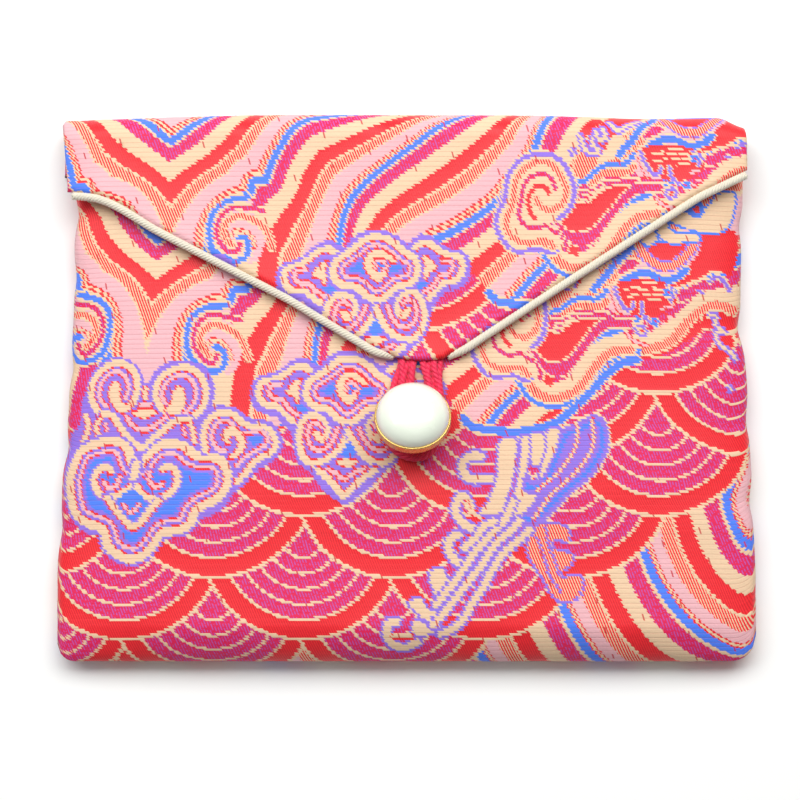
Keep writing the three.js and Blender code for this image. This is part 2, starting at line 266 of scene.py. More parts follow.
# Like points of the repeat, in the photo's pixels: x and y on the flap, then x and y on the front
FLAP_MATCHES = np.array((
    (167, 146, 147, 247),
    (168.6, 166, 144.4, 266),
    (173, 207, 142, 301),
    (252, 181, 227, 293),
    (237, 240, 203, 355),
    (379.4, 271.4, 346, 395.4),
    (546.9, 197.5, 528.5, 325),
    (575.4, 190.7, 553.2, 317.5),
    (559.3, 219.3, 536, 345),
    (671.8, 188.9, 650.5, 331.3),
    (664.6, 171.1, 642.7, 307.2),
    (641.4, 156.8, 622, 291.7),
    (621.8, 163.9, 600.5, 299.4),
    (548.6, 244.3, 519.6, 369.2),
    (684.3, 132.7, 671.8, 265.7),
    (630.7, 140.7, 611, 280),
    (578.9, 231.8, 555.8, 364),
    (591.4, 242.5, 564.4, 377.8),
    (516.4, 269.3, 490.3, 391.5),
    (93.6, 125, 79.6, 216.2),
    (135, 214, 99.8, 309.4),
    (75.6, 160, 55, 255.2),
    (67, 163, 45.7, 239),
))
SHIFT_SPREAD = 60.0

# Axis that the rising stripes are mirrored about, in the photo's pixels
HEART_AXIS = (
    (147, 247), (142, 301),
)

# Lower border of the rising stripes, over the scales, in the photo's pixels
STRIPES_FOOT = (
    (-40, 430), (60, 430), (250, 430), (400, 420), (447, 400), (466, 420), (485, 427), (518, 431),
    (556, 428), (581, 413), (600, 385), (613, 370), (640, 360), (700, 340), (745, 310), (840, 260),
)

# Border below which the standing water shows instead of scales, in the photo's pixels
SHORE = (
    (480, 655), (749, 480),
)

# Standing water: centre of its arcs, radius of the first blue arc and spacing, in mm
POND_CENTRE = np.array((67.2, -21.1))
POND_FIRST, POND_PITCH = 11.2, 16.4
# Scales: lowest point of one, spacing along a row and from row to row, and rows, in mm
SCALE_FOOT = np.array((-17.7, -44.6))
SCALE_RADIUS, SCALE_PITCH, SCALE_RISE, SCALE_ROWS = 17.6, 30.7, 10.6, 12
# Rising stripes: spacing beyond the charted bands, in mm
STRIPE_PITCH = 16.0

# Rising stripes: the middle of each blue band on the flap, from the upper right to the lower left,
# as stretches of a crop's name and its points
RISING_GUIDES = (
    (
        ("upper left", (
            (720, 5), (660, 55), (610, 95), (560, 135), (512, 165),
        )),
    ),
    (
        ("upper left", (
            (1190, 40), (1120, 60), (1060, 100), (1020, 150), (985, 210), (960, 265), (940, 325),
            (885, 330), (868, 385), (800, 405), (740, 435), (705, 485), (690, 545), (692, 600),
            (692, 700),
        )),
    ),
    (
        ("upper right", (
            (260, 40), (200, 75), (130, 115), (60, 170), (0, 212),
        )),
        ("upper left", (
            (1440, 280), (1380, 330), (1320, 400), (1290, 460), (1275, 520), (1265, 600), (1255, 700),
        )),
    ),
    (
        ("upper right", (
            (650, 30), (620, 90), (595, 150), (575, 205), (520, 290), (470, 360), (420, 420), (350, 480),
            (270, 530), (200, 565), (120, 600), (30, 650),
        )),
    ),
    (
        ("upper right", (
            (780, 580), (700, 635), (640, 690), (580, 750), (530, 810), (480, 880), (430, 960),
        )),
    ),
)

# Scroll that the rising stripes roll into, laid on both sides of the heart's axis:
# name, kind, bands, panel, crop and points listed on it
SCROLL_MOTIFS = (
    ("scroll_ground", "blob", "scroll_pink", "flap", "scroll", (
        (720, 425), (560, 450), (430, 510), (330, 600), (290, 700), (275, 800), (280, 920), (330, 1030),
        (430, 1100), (550, 1140), (640, 1160), (740, 1190), (830, 1130), (880, 1000), (905, 880),
        (900, 760), (840, 690), (790, 610), (770, 520),
    )),
    ("scroll_hatch", "stroke", "scroll_hatch", "flap", "scroll", (
        (985, 1000), (960, 900), (905, 770), (830, 695), (730, 645), (620, 610), (520, 632), (440, 692),
        (400, 770), (405, 860), (440, 930), (505, 965),
    )),
    ("scroll_magenta", "stroke", "scroll_magenta", "flap", "scroll", (
        (880, 545), (760, 525), (620, 500), (490, 520), (400, 580), (345, 660), (318, 760), (322, 870),
        (365, 955), (440, 1030), (520, 1060), (580, 1015), (600, 945),
    )),
    ("scroll_blue", "stroke", "scroll_blue", "flap", "scroll", (
        (690, 385), (600, 395), (470, 425), (360, 490), (285, 570), (248, 660), (232, 780), (235, 900),
        (262, 1010), (330, 1080), (430, 1130), (550, 1165), (640, 1130), (690, 1060), (700, 980),
        (685, 910), (640, 870), (590, 870),
    )),
    ("scroll_core", "stroke", "scroll_core", "flap", "scroll", (
        (470, 890), (500, 830), (560, 785), (650, 790), (720, 840), (760, 920), (775, 990),
    )),
)

# Middle cloud: its axis, the left half of its outline and what closes it at the top, on its crop
MIDDLE_AXIS = 716
MIDDLE_EDGE = (
    (500, 165), (430, 120), (380, 100), (310, 125), (250, 175), (180, 210), (110, 220), (60, 265),
    (48, 330), (70, 420), (150, 470), (215, 480), (265, 530), (320, 590), (335, 640), (345, 720),
    (385, 800), (440, 845), (490, 890), (560, 980), (640, 1045), (705, 1085),
)
MIDDLE_TOP = (
    (870, 110), (790, 70), (716, 55), (640, 65), (560, 105),
)


def mirrored(points):
    """Points of the middle crop on the other side of the cloud's axis, in the opposite order."""
    return tuple((2 * MIDDLE_AXIS - x, y) for x, y in reversed(points))


# Motifs in the order they are laid on the cloth: name, kind, bands, panel, crop and one or more lines
# of points listed on it. A pair lies on the front, on both sides of the middle cloud's axis.
MOTIFS = (
    ("red field", "blob", "red_field", "front", "dragon", (
        (1350, -60), (1560, -60), (1540, 190), (1440, 175), (1330, 235), (1230, 270), (1160, 300),
        (1210, 250), (1260, 150), (1330, 60),
    )),
    ("forelock", "blob", "red_field", "flap", "flap dragon", (
        (690, 55), (745, 70), (700, 130), (650, 180), (600, 190), (630, 120),
    )),
    ("forelock", "blob", "cream_patch", "flap", "flap dragon", (
        (780, 180), (860, 170), (850, 240), (800, 300), (720, 310), (760, 240),
    )),
    ("cheek", "blob", "hatch_patch", "flap", "flap dragon", (
        (585, 310), (640, 255), (720, 310), (660, 390), (600, 400),
    )),
    ("bowl line", "stroke", "brow", "front", "dragon", (
        (985, 18), (1100, 22), (1250, 5),
    )),
    ("bowl", "blob", "red_field", "front", "dragon", (
        (1000, 32), (1240, 22), (1210, 70), (1150, 115), (1080, 115), (1030, 80),
    )),
    ("bowl", "stroke", "horn", "front", "dragon", (
        (955, 10), (985, 75), (1040, 125), (1110, 152), (1180, 140), (1240, 90), (1285, 40), (1305, -15),
    )),
    (
        "lobe", "blob", "petal_blue", "front", "flap dragon",
        ((1000, 765), (1010, 700), (1060, 690), (1088, 740), (1050, 778)),
        (
            (1085, 660), (1140, 640), (1170, 700), (1240, 720), (1320, 722), (1330, 752), (1200, 768),
            (1120, 752),
        ),
    ),
    ("petal", "blob", "petal_blue", "front", "flap dragon", (
        (1170, 640), (1230, 600), (1290, 590), (1380, 560), (1430, 490), (1530, 480), (1530, 640),
        (1480, 690), (1390, 708), (1290, 690), (1210, 660),
    )),
    ("oval", "ring", "oval", "front", "flap dragon", (
        (1315, 578),
    )),
    ("brow", "stroke", "brow", "front", "dragon", (
        (915, 40), (880, 80), (820, 130), (770, 200), (720, 250), (690, 285),
    )),
    ("wedge", "blob", "wedge", "front", "dragon", (
        (840, 180), (900, 110), (960, 130), (930, 165), (850, 198),
    )),
    ("brow", "stroke", "brow", "front", "dragon", (
        (870, 238), (950, 200), (1010, 190), (1060, 215), (1130, 232), (1200, 210), (1250, 170),
    )),
    ("mask", "blob", "red_field", "front", "dragon", (
        (810, 260), (960, 230), (1100, 240), (1180, 290), (1200, 350), (1130, 420), (1060, 450),
        (940, 440), (880, 420), (830, 360),
    )),
    ("mask", "stroke", "pink_dash", "front", "dragon", (
        (800, 280), (828, 360), (862, 412), (925, 428),
    )),
    ("mask", "stroke", "mask_line", "front", "dragon", (
        (820, 272), (832, 320), (862, 368), (892, 402), (928, 400), (936, 365),
    )),
    (
        "mask", "stroke", "tick", "front", "dragon",
        ((885, 285), (960, 272)),
        ((985, 250), (1062, 250)),
        ((975, 285), (1020, 285)),
        ((1045, 280), (1105, 290)),
        ((1000, 318), (1040, 318)),
        ((1062, 318), (1120, 312)),
        ((900, 330), (965, 318)),
        ((1030, 350), (1100, 345)),
    ),
    (
        "mask", "stroke", "mask_line", "front", "dragon",
        ((985, 365), (1000, 430), (1040, 470)),
        ((1135, 270), (1180, 300), (1160, 350)),
    ),
    (
        "eye", "ring", "eye", "front", "dragon",
        ((1080, 475),),
        ((1140, 305),),
    ),
    (
        "mask", "stroke", "pink_dash", "front", "dragon",
        ((1150, 440), (1205, 470)),
        ((1130, 480), (1180, 495)),
        ((1110, 400), (1170, 380)),
    ),
    ("mane", "stroke", "mane", "front", "dragon", (
        (1230, 320), (1310, 285), (1390, 250), (1470, 240),
    )),
    ("mane", "stroke", "tick", "front", "dragon", (
        (1180, 285), (1260, 250), (1340, 220), (1420, 175), (1475, 182),
    )),
    (
        "mane", "stroke", "mask_line", "front", "dragon",
        ((1390, 232), (1440, 205), (1490, 240), (1530, 300)),
        ((1330, 292), (1400, 318), (1460, 312), (1515, 360)),
    ),
    ("jaw", "blob", "jaw", "front", "dragon", (
        (440, 440), (540, 400), (640, 400), (760, 380), (830, 430), (940, 440), (950, 470), (740, 470),
        (640, 460), (560, 490), (470, 540),
    )),
    ("jaw", "stroke", "hatch_line", "front", "dragon", (
        (520, 425), (590, 382), (660, 388), (740, 388), (772, 358),
    )),
    ("jaw", "stroke", "jaw_blue", "front", "dragon", (
        (445, 420), (500, 402), (550, 362), (620, 338), (700, 345), (750, 322), (772, 290),
    )),
    (
        "jaw", "stroke", "tick", "front", "dragon",
        ((440, 462), (520, 455), (580, 425), (650, 430), (770, 415), (815, 440)),
        ((470, 495), (540, 475), (600, 450)),
        ((450, 525), (520, 508), (562, 482), (640, 462), (740, 470), (900, 460), (965, 458)),
    ),
    (
        "curl", "stroke", "curl", "flap", "flap dragon",
        ((620, 175), (640, 240), (690, 272), (722, 250), (685, 218), (692, 170)),
        ((705, 140), (722, 190), (762, 182), (742, 130)),
        ((780, 90), (830, 140), (880, 110), (940, 80)),
    ),
    ("bead", "ring", "bead", "flap", "flap dragon", (
        (577, 258),
    )),
    ("dragon tail", "ribbon", "dragon_tail", "front", "dragon", (
        (870, 635), (960, 640), (1050, 628), (1150, 590), (1240, 515), (1320, 430), (1400, 375),
        (1480, 372), (1560, 410),
    )),
    ("dragon back", "ribbon", "dragon_back", "front", "dragon", (
        (230, 755), (262, 800), (310, 870), (360, 910), (430, 925), (500, 912), (560, 880), (612, 830),
        (660, 765), (720, 700), (790, 655), (900, 637),
    )),
    ("dragon coil", "ribbon", "dragon_coil", "flap", "flap dragon", (
        (505, 585), (532, 520), (540, 450), (510, 380), (460, 332), (400, 315), (340, 328), (280, 372),
        (242, 440), (215, 520), (197, 600), (195, 680), (222, 745), (275, 780), (335, 772), (400, 770),
        (455, 792),
    )),
    ("flank", "blob", "flank", "front", "dragon", (
        (300, 635), (325, 690), (370, 755), (430, 795), (495, 790), (550, 740), (610, 675), (665, 615),
        (720, 560), (780, 520), (850, 510), (930, 510), (940, 470), (880, 462), (800, 458), (740, 472),
        (700, 505), (650, 560), (590, 615), (530, 672), (470, 715), (400, 712), (345, 672), (320, 625),
    )),
    ("flank", "blob", "red_patch", "front", "dragon", (
        (335, 612), (390, 560), (430, 535), (490, 545), (560, 495), (640, 468), (735, 468), (690, 505),
        (640, 560), (580, 620), (520, 680), (460, 705), (395, 700), (345, 655),
    )),
    ("dragon belly", "stroke", "belly", "front", "dragon", (
        (-95, 1040), (-50, 1085), (0, 1100), (100, 1112), (200, 1120), (300, 1110), (400, 1088),
        (470, 1055), (540, 1000), (610, 935), (670, 870), (730, 800), (790, 750), (860, 712), (935, 700),
    )),
    ("flower", "ring", "flower", "front", "dragon", (
        (990, 528),
    )),
    ("flower", "stroke", "pink_dash", "front", "dragon", (
        (905, 545), (930, 588), (1000, 612),
    )),
    (
        "curl", "stroke", "curl", "front", "dragon",
        ((1420, 425), (1450, 440), (1455, 490), (1500, 520)),
        ((1500, 520), (1445, 535), (1450, 600), (1500, 640), (1535, 690)),
    ),
    ("bead", "ring", "bead", "front", "dragon", (
        (1490, 860),
    )),
    ("middle cloud", "blob", "cloud_ground", "front", "middle", (
        *MIDDLE_EDGE, *mirrored(MIDDLE_EDGE), *MIDDLE_TOP,
    )),
    ("lobe", "ribbon", "curl_ring", "pair", "middle", (
        (335, 530), (240, 432), (160, 420), (105, 375), (90, 310), (115, 255), (190, 242), (260, 205),
        (320, 160), (390, 148), (440, 180),
    )),
    ("lobe line", "stroke", "pink_ring", "pair", "middle", (
        (380, 490), (310, 440), (262, 382), (200, 372), (165, 330), (175, 285), (240, 275),
    )),
    ("crescent", "blob", "comma", "pair", "middle", (
        (385, 240), (330, 262), (285, 325), (335, 355), (365, 405), (382, 350), (370, 300),
    )),
    ("lobe blue", "blob", "blue_patch", "pair", "middle", (
        (345, 425), (400, 415), (460, 455), (420, 475),
    )),
    ("ring", "blob", "small_cloud", "front", "middle", (
        (560, 140), (490, 190), (425, 235), (398, 320), (425, 400), (490, 455), (570, 468), (630, 525),
        (716, 565), (800, 530), (870, 470), (950, 455), (1010, 400), (1030, 320), (1005, 235),
        (930, 190), (870, 135), (790, 85), (716, 72), (630, 85),
    )),
    ("ring comma", "blob", "comma", "front", "middle", (
        (720, 415), (665, 370), (630, 300), (650, 225), (710, 190), (780, 210), (850, 270), (820, 285),
        (770, 245), (710, 235), (685, 280), (700, 335), (740, 350), (790, 335), (770, 380),
    )),
    ("ring curl", "stroke", "pink_dash", "front", "middle", (
        (705, 320), (710, 270), (750, 265), (785, 310), (755, 335),
    )),
    ("spiral", "ribbon", "curl_ring", "pair", "middle", (
        (720, 590), (705, 625), (665, 695), (615, 755), (545, 802), (465, 812), (402, 765), (370, 685),
        (375, 605), (400, 535), (440, 492), (495, 488), (548, 525), (572, 585), (550, 640), (505, 650),
    )),
    ("spiral line", "stroke", "pink_ring", "pair", "middle", (
        (640, 580), (610, 650), (560, 705), (500, 728), (450, 700), (430, 630), (450, 560), (490, 535),
        (530, 565),
    )),
    ("spiral comma", "blob", "comma", "pair", "middle", (
        (470, 600), (510, 600), (545, 650), (525, 675), (495, 660),
    )),
    ("lens", "blob", "comma", "front", "middle", (
        (645, 803), (700, 785), (790, 797), (745, 838), (690, 835),
    )),
    ("delta", "blob", "blue_patch", "front", "middle", (
        (718, 665), (670, 760), (765, 760),
    )),
    ("foot", "ribbon", "curl_ring", "front", "middle", (
        (910, 860), (830, 920), (765, 985), (716, 1035), (680, 1012), (620, 950), (570, 900), (520, 865),
    )),
    ("foot line", "stroke", "pink_ring", "front", "middle", (
        (590, 858), (645, 885), (706, 925), (765, 880), (840, 850),
    )),
    ("heart cloud", "blob", "cloud_ground", "front", "heart", (
        (150, 330), (160, 240), (210, 170), (300, 130), (380, 130), (450, 170), (500, 230), (530, 290),
        (550, 305), (580, 290), (600, 230), (650, 180), (720, 155), (800, 150), (880, 170), (950, 210),
        (1000, 290), (1015, 370), (1000, 450), (1090, 455), (1170, 470), (1230, 510), (1290, 545),
        (1350, 545), (1420, 570), (1462, 630), (1475, 700), (1450, 780), (1400, 830), (1340, 862),
        (1250, 960), (1180, 1020), (1000, 1180), (300, 1300), (60, 1150), (30, 700), (110, 560),
        (120, 420),
    )),
    ("left curl", "ribbon", "curl_ring", "front", "heart", (
        (235, 490), (190, 420), (172, 330), (192, 240), (250, 180), (330, 150), (410, 172), (468, 230),
        (492, 300), (490, 370), (462, 430), (420, 458),
    )),
    ("left comma", "blob", "comma", "front", "heart", (
        (385, 485), (340, 450), (308, 390), (298, 330), (320, 285), (350, 280), (370, 310), (376, 360),
        (388, 410), (425, 440), (455, 440), (435, 478),
    )),
    ("left curl line", "ribbon", "pink_ring", "front", "heart", (
        (290, 455), (240, 395), (232, 310), (262, 240), (322, 205), (385, 230), (425, 285), (432, 345),
        (415, 388),
    )),
    ("right curl", "ribbon", "curl_ring", "front", "heart", (
        (745, 495), (705, 488), (658, 450), (628, 390), (622, 320), (650, 250), (710, 205), (790, 183),
        (870, 205), (932, 260), (964, 340), (960, 420), (920, 490), (850, 527),
    )),
    ("right comma", "blob", "comma", "front", "heart", (
        (725, 505), (795, 495), (825, 440), (822, 370), (803, 325), (772, 312), (745, 340), (735, 390),
        (722, 435), (690, 468),
    )),
    ("right curl line", "ribbon", "pink_ring", "front", "heart", (
        (690, 425), (665, 370), (680, 300), (730, 255), (790, 238), (852, 265), (892, 320), (897, 390),
        (872, 450), (825, 495),
    )),
    ("wedge", "stroke", "dash", "front", "heart", (
        (548, 325), (552, 390),
    )),
    ("dash", "stroke", "pink_dash", "front", "heart", (
        (515, 435), (590, 435),
    )),
    ("dash", "stroke", "red_dash", "front", "heart", (
        (505, 462), (600, 462),
    )),
    ("boat", "blob", "comma", "front", "heart", (
        (462, 490), (500, 476), (600, 473), (632, 490), (590, 512), (545, 526), (500, 512),
    )),
    ("boat line", "stroke", "pink_ring", "front", "heart", (
        (425, 515), (460, 565), (520, 600), (580, 595), (640, 560), (700, 520),
    )),
    ("vee", "ribbon", "curl_ring", "front", "heart", (
        (268, 490), (325, 505), (365, 550), (410, 620), (460, 680), (512, 722), (550, 712), (600, 665),
        (660, 620), (720, 570), (780, 538), (855, 532),
    )),
    (
        "petal", "stroke", "dash", "front", "heart",
        ((140, 500), (160, 560), (150, 620), (120, 675)),
        ((240, 530), (215, 580), (225, 630)),
        ((865, 570), (882, 620), (880, 685)),
    ),
    (
        "petal", "stroke", "pink_dash", "front", "heart",
        ((280, 560), (290, 600)),
        ((810, 590), (825, 645)),
    ),
    ("petal", "stroke", "red_dash", "front", "heart", (
        (925, 690), (935, 720),
    )),
    ("heart", "blob", "cloud_head", "front", "heart", (
        (60, 800), (70, 740), (110, 700), (190, 668), (300, 645), (395, 662), (455, 715), (490, 780),
        (515, 815), (545, 775), (595, 710), (665, 672), (750, 666), (830, 690), (890, 735), (950, 757),
        (1040, 762), (1110, 795), (1155, 870), (1165, 965), (1130, 1050), (1060, 1110), (985, 1140),
        (940, 1180), (910, 1240), (840, 1295), (760, 1312), (705, 1325), (670, 1395), (600, 1470),
        (500, 1500), (400, 1470), (320, 1400), (278, 1310), (255, 1285), (190, 1262), (110, 1215),
        (65, 1140), (45, 1060), (30, 930),
    )),
    ("stem", "stroke", "hook", "front", "heart", (
        (512, 830), (505, 900), (500, 975),
    )),
    ("left spiral", "ribbon", "curl_ring", "front", "heart", (
        (490, 985), (440, 1020), (380, 1048), (300, 1045), (245, 990), (230, 920), (258, 868),
        (305, 848), (345, 875),
    )),
    ("left crescent", "stroke", "pink_ring", "front", "heart", (
        (300, 955), (335, 992), (385, 975), (405, 920),
    )),
    ("right spiral", "ribbon", "curl_ring", "front", "heart", (
        (690, 865), (740, 850), (780, 880), (800, 940), (770, 1010), (700, 1058), (625, 1068),
        (560, 1035), (525, 985),
    )),
    ("right crescent", "stroke", "pink_ring", "front", "heart", (
        (700, 965), (655, 990), (612, 955), (600, 890),
    )),
    ("left point", "ribbon", "curl_ring", "front", "heart", (
        (325, 1060), (380, 1130), (430, 1200), (490, 1252), (550, 1215), (612, 1150), (672, 1080),
    )),
    ("point blue", "blob", "blue_patch", "front", "heart", (
        (490, 1005), (410, 1075), (580, 1080),
    )),
    ("point line", "stroke", "pink_dash", "front", "heart", (
        (440, 1105), (490, 1160), (550, 1100),
    )),
    ("small cloud", "ribbon", "curl_ring", "front", "heart", (
        (958, 740), (945, 660), (965, 580), (1012, 520), (1085, 490), (1160, 505), (1212, 550),
        (1270, 582), (1350, 580), (1410, 620), (1437, 690), (1410, 760), (1350, 792), (1300, 832),
        (1260, 890), (1205, 955),
    )),
    ("small cloud line", "ribbon", "pink_ring", "front", "heart", (
        (1095, 745), (1040, 735), (1002, 660), (1030, 580), (1090, 540), (1150, 560), (1200, 620),
        (1260, 622), (1340, 610), (1382, 650), (1370, 700), (1310, 742), (1240, 790), (1195, 850),
    )),
    ("small cloud blue", "blob", "blue_patch", "front", "heart", (
        (1250, 660), (1320, 640), (1350, 670), (1290, 710),
    )),
    ("small cloud comma", "blob", "comma", "front", "heart", (
        (1165, 800), (1130, 790), (1170, 740), (1180, 680), (1150, 640), (1120, 670), (1125, 700),
        (1090, 690), (1075, 650), (1100, 600), (1150, 585), (1205, 620), (1232, 690), (1212, 760),
    )),
    ("feather", "blob", "feather", "front", "foam", (
        (1180, 90), (1300, 30), (1420, -30), (1500, 20), (1505, 150), (1480, 250), (1400, 370),
        (1300, 460), (1200, 560), (1100, 640), (1020, 690), (940, 685), (905, 610), (930, 520),
        (960, 340), (1050, 390),
    )),
    (
        "vane", "stroke", "vane", "front", "foam",
        ((1310, 40), (1292, 150), (1250, 250), (1170, 350), (1080, 430), (1035, 490), (980, 590)),
        ((1412, 0), (1400, 150), (1350, 270), (1250, 380), (1150, 480), (1080, 570), (1015, 640)),
    ),
    ("flame", "blob", "flame", "front", "foam", (
        (1010, 700), (1100, 680), (1210, 690), (1242, 740), (1230, 785), (1150, 770), (1130, 830),
        (1200, 850), (1262, 870), (1250, 930), (1190, 980), (1200, 1030), (1260, 1000), (1322, 1020),
        (1322, 1090), (1280, 1150), (1200, 1172), (1130, 1120), (1080, 1020), (1020, 940), (980, 840),
    )),
    (
        "flame line", "stroke", "flame_line", "front", "foam",
        ((1090, 690), (1110, 800), (1150, 900), (1180, 1000)),
        ((1040, 760), (1080, 880), (1120, 1000), (1190, 1110)),
    ),
    (
        "trunk", "blob", "trunk", "front", "foam",
        (
            (935, 125), (985, 125), (980, 260), (965, 340), (945, 400), (955, 455), (1000, 480),
            (1052, 488), (1020, 545), (975, 590), (900, 640), (880, 560), (905, 480), (920, 380),
            (930, 250),
        ),
        ((1000, 105), (1075, 100), (1085, 200), (1070, 285), (1040, 300), (1005, 280)),
        ((1105, 85), (1185, 60), (1160, 180), (1120, 280), (1050, 390), (1080, 270), (1100, 180)),
    ),
    (
        "hook", "stroke", "hook", "front", "foam",
        ((620, 575), (590, 505), (552, 505), (522, 560), (525, 620), (565, 675), (640, 715)),
        ((528, 745), (485, 760), (470, 820), (490, 880), (540, 925), (600, 935)),
        ((135, 1300), (85, 1315), (72, 1385), (112, 1450), (185, 1478), (265, 1440)),
        ((672, 238), (600, 240), (558, 290), (568, 350), (622, 387), (735, 385)),
    ),
    ("hook", "stroke", "dash", "front", "foam", (
        (590, 540), (620, 600), (690, 612),
    )),
    (
        "foam", "blob", "trunk", "front", "foam",
        (
            (365, 970), (440, 968), (460, 1020), (525, 1020), (500, 1090), (440, 1160), (400, 1200),
            (375, 1100), (352, 1040),
        ),
        (
            (215, 1180), (280, 1148), (320, 1190), (355, 1235), (430, 1235), (400, 1290), (330, 1290),
            (265, 1240),
        ),
        ((245, 1305), (285, 1290), (340, 1330), (420, 1330), (350, 1380), (245, 1378)),
    ),
    ("foam", "stroke", "dash", "front", "foam", (
        (120, 1392), (230, 1398),
    )),
    (
        "foam", "stroke", "band", "front", "foam",
        (
            (990, 710), (930, 770), (860, 830), (800, 890), (750, 970), (700, 1060), (650, 1140),
            (600, 1220), (560, 1290), (500, 1345), (420, 1380),
        ),
        (
            (920, 655), (860, 720), (790, 780), (730, 860), (680, 940), (620, 1020), (560, 1090),
            (500, 1170), (440, 1245), (370, 1320),
        ),
        (
            (900, 530), (870, 590), (830, 645), (770, 705), (700, 785), (630, 865), (570, 955),
            (520, 1030), (450, 1115), (395, 1190),
        ),
        ((760, 655), (690, 690), (640, 760), (570, 830)),
    ),
    ("trunk", "blob", "trunk", "front", "foam", (
        (790, 150), (890, 125), (897, 250), (887, 350), (870, 450), (842, 540), (812, 602), (740, 612),
        (675, 602), (730, 545), (765, 470), (780, 380), (786, 260),
    )),
    ("coil_ground", "blob", "cream_patch", "flap", "coil", (
        (750, 870), (860, 750), (915, 640), (925, 540), (905, 440), (850, 330), (780, 240), (690, 180),
        (600, 165), (480, 170), (390, 205), (320, 245), (255, 320), (212, 400), (190, 500), (180, 600),
        (155, 690), (110, 780), (90, 900), (110, 1000), (170, 1100), (260, 1170), (380, 1190),
        (560, 1160), (620, 1060), (660, 960), (690, 900),
    )),
    ("coil_red", "stroke", "coil_red", "flap", "coil", (
        (645, 575), (605, 515), (535, 500), (465, 550), (428, 630), (425, 720), (450, 810), (500, 865),
    )),
    ("coil_hatch", "stroke", "coil_hatch", "flap", "coil", (
        (700, 1190), (640, 1120), (560, 1110), (440, 1140), (320, 1115), (230, 1050), (185, 960),
        (180, 870), (220, 770), (258, 680), (270, 580), (280, 480), (315, 395), (370, 325), (450, 265),
        (560, 235), (660, 255), (740, 330), (800, 430), (838, 530), (835, 620), (785, 700), (700, 760),
        (610, 765), (540, 710), (510, 640),
    )),
    ("coil_magenta", "stroke", "coil_magenta", "flap", "coil", (
        (620, 940), (510, 975), (420, 955), (350, 900), (320, 820), (330, 720), (350, 620), (362, 530),
        (400, 450), (460, 400), (540, 375), (630, 385), (690, 435), (718, 530),
    )),
    ("coil_line", "stroke", "coil_line", "flap", "coil", (
        (755, 870), (805, 825), (880, 740), (920, 640), (930, 540), (910, 440), (860, 330), (790, 230),
        (700, 170), (600, 150), (480, 155), (390, 190), (320, 230), (250, 310), (205, 400), (180, 500),
        (172, 600), (148, 690), (105, 770), (75, 850), (65, 920), (90, 1010), (130, 1090), (200, 1180),
    )),
)


def on_cloth(seen, height):
    """Where the photo's camera sees pixels of the photo on cloth at a height, in mm."""
    tilt = math.radians(CAMERA_ELEVATION)
    back = np.array((0, -math.cos(tilt), math.sin(tilt)))
    up = np.array((0, math.sin(tilt), math.cos(tilt)))
    eye = (np.array(CAMERA_AIM) + CAMERA_DISTANCE * back) / MM
    across, down = (seen - PHOTO_CENTRE).T / PHOTO_FOCUS
    ray = np.outer(across, (1, 0, 0)) - np.outer(down, up) - back
    far = (height - eye[2]) / ray[:, 2]
    return (eye + ray * far[:, None])[:, :2]


def flap_shifts():
    """Places on the flap and how far the design is shifted there, to a tenth of a millimetre."""
    flap = on_cloth(FLAP_MATCHES[:, :2], FLAP_MEAN_Z)
    front = on_cloth(FLAP_MATCHES[:, 2:], FRONT_MEAN_Z)
    return np.round(np.hstack([flap, front - flap]), 1)


FLAP_SHIFTS = flap_shifts()


def flap_on_design(at):
    """Where points of the flap fall on the design."""
    near = ((at[:, None] - FLAP_SHIFTS[None, :, :2]) ** 2).sum(2) + SHIFT_SPREAD
    weight = near ** -1.5
    return at + weight @ FLAP_SHIFTS[:, 2:] / weight.sum(1)[:, None]


def on_design(panel, crop, points):
    """Where points listed on a crop fall on the design, to a tenth of a millimetre."""
    left, top, enlargement = CROPS[crop]
    seen = np.array(points, float) / enlargement + (left, top)
    if panel == "flap":
        return np.round(flap_on_design(on_cloth(seen, FLAP_MEAN_Z)), 1)
    return np.round(on_cloth(seen, FRONT_MEAN_Z), 1)


def lay_motifs(weave, at, motifs):
    """Lays motifs on the cloth in their order, each over the ones before it."""
    for name, kind, bands, panel, crop, *lines in motifs:
        if panel == "pair":
            lines = [side for points in lines for side in (points, mirrored(points))]
        for points in lines:
            LAYERS[kind](weave, at, BANDS[bands], on_design(panel, crop, points))


def pick(bands, place):
    """The yarn of the band that each place falls in."""
    ends = np.array([end for end, yarn in bands])
    yarns = np.array([yarn for end, yarn in bands])
    return yarns[np.clip(np.searchsorted(ends, place), 0, len(bands) - 1)]


def eased_line(points, closed=False, steps=4):
    """A charted line eased through its points."""
    points = np.asarray(points, float)
    if closed:
        knots = np.concatenate([points[-1:], points, points[:2]])
    else:
        knots = np.concatenate([2 * points[:1] - points[1:2], points, 2 * points[-1:] - points[-2:-1]])
    t = np.linspace(0, 1, steps, endpoint=False)[:, None]
    spans = [
        b + 0.5 * t * (c - a + t * (2 * a - 5 * b + 4 * c - d + t * (3 * b - a - 3 * c + d)))
        for a, b, c, d in zip(knots[:-3], knots[1:-2], knots[2:-1], knots[3:])
    ]
    return np.concatenate(spans + [knots[-2:-1]])


def distance(at, line, reach=np.inf):
    """How far each point is from a line within reach, less than zero on the line's right."""
    best = np.full(len(at), np.inf)
    x, y = at.T
    for start, run in zip(line[:-1], np.diff(line, axis=0)):
        size = run @ run
        if size == 0:
            continue
        low, high = np.minimum(start, start + run) - reach, np.maximum(start, start + run) + reach
        near = np.flatnonzero((x > low[0]) & (x < high[0]) & (y > low[1]) & (y < high[1]))
        off = at[near] - start
        off -= np.clip(off @ run / size, 0, 1)[:, None] * run
        far = np.hypot(off[:, 0], off[:, 1])
        side = np.where(run[0] * off[:, 1] < run[1] * off[:, 0], -1, 1)
        best[near] = np.where(far < np.abs(best[near]), far * side, best[near])
    return best


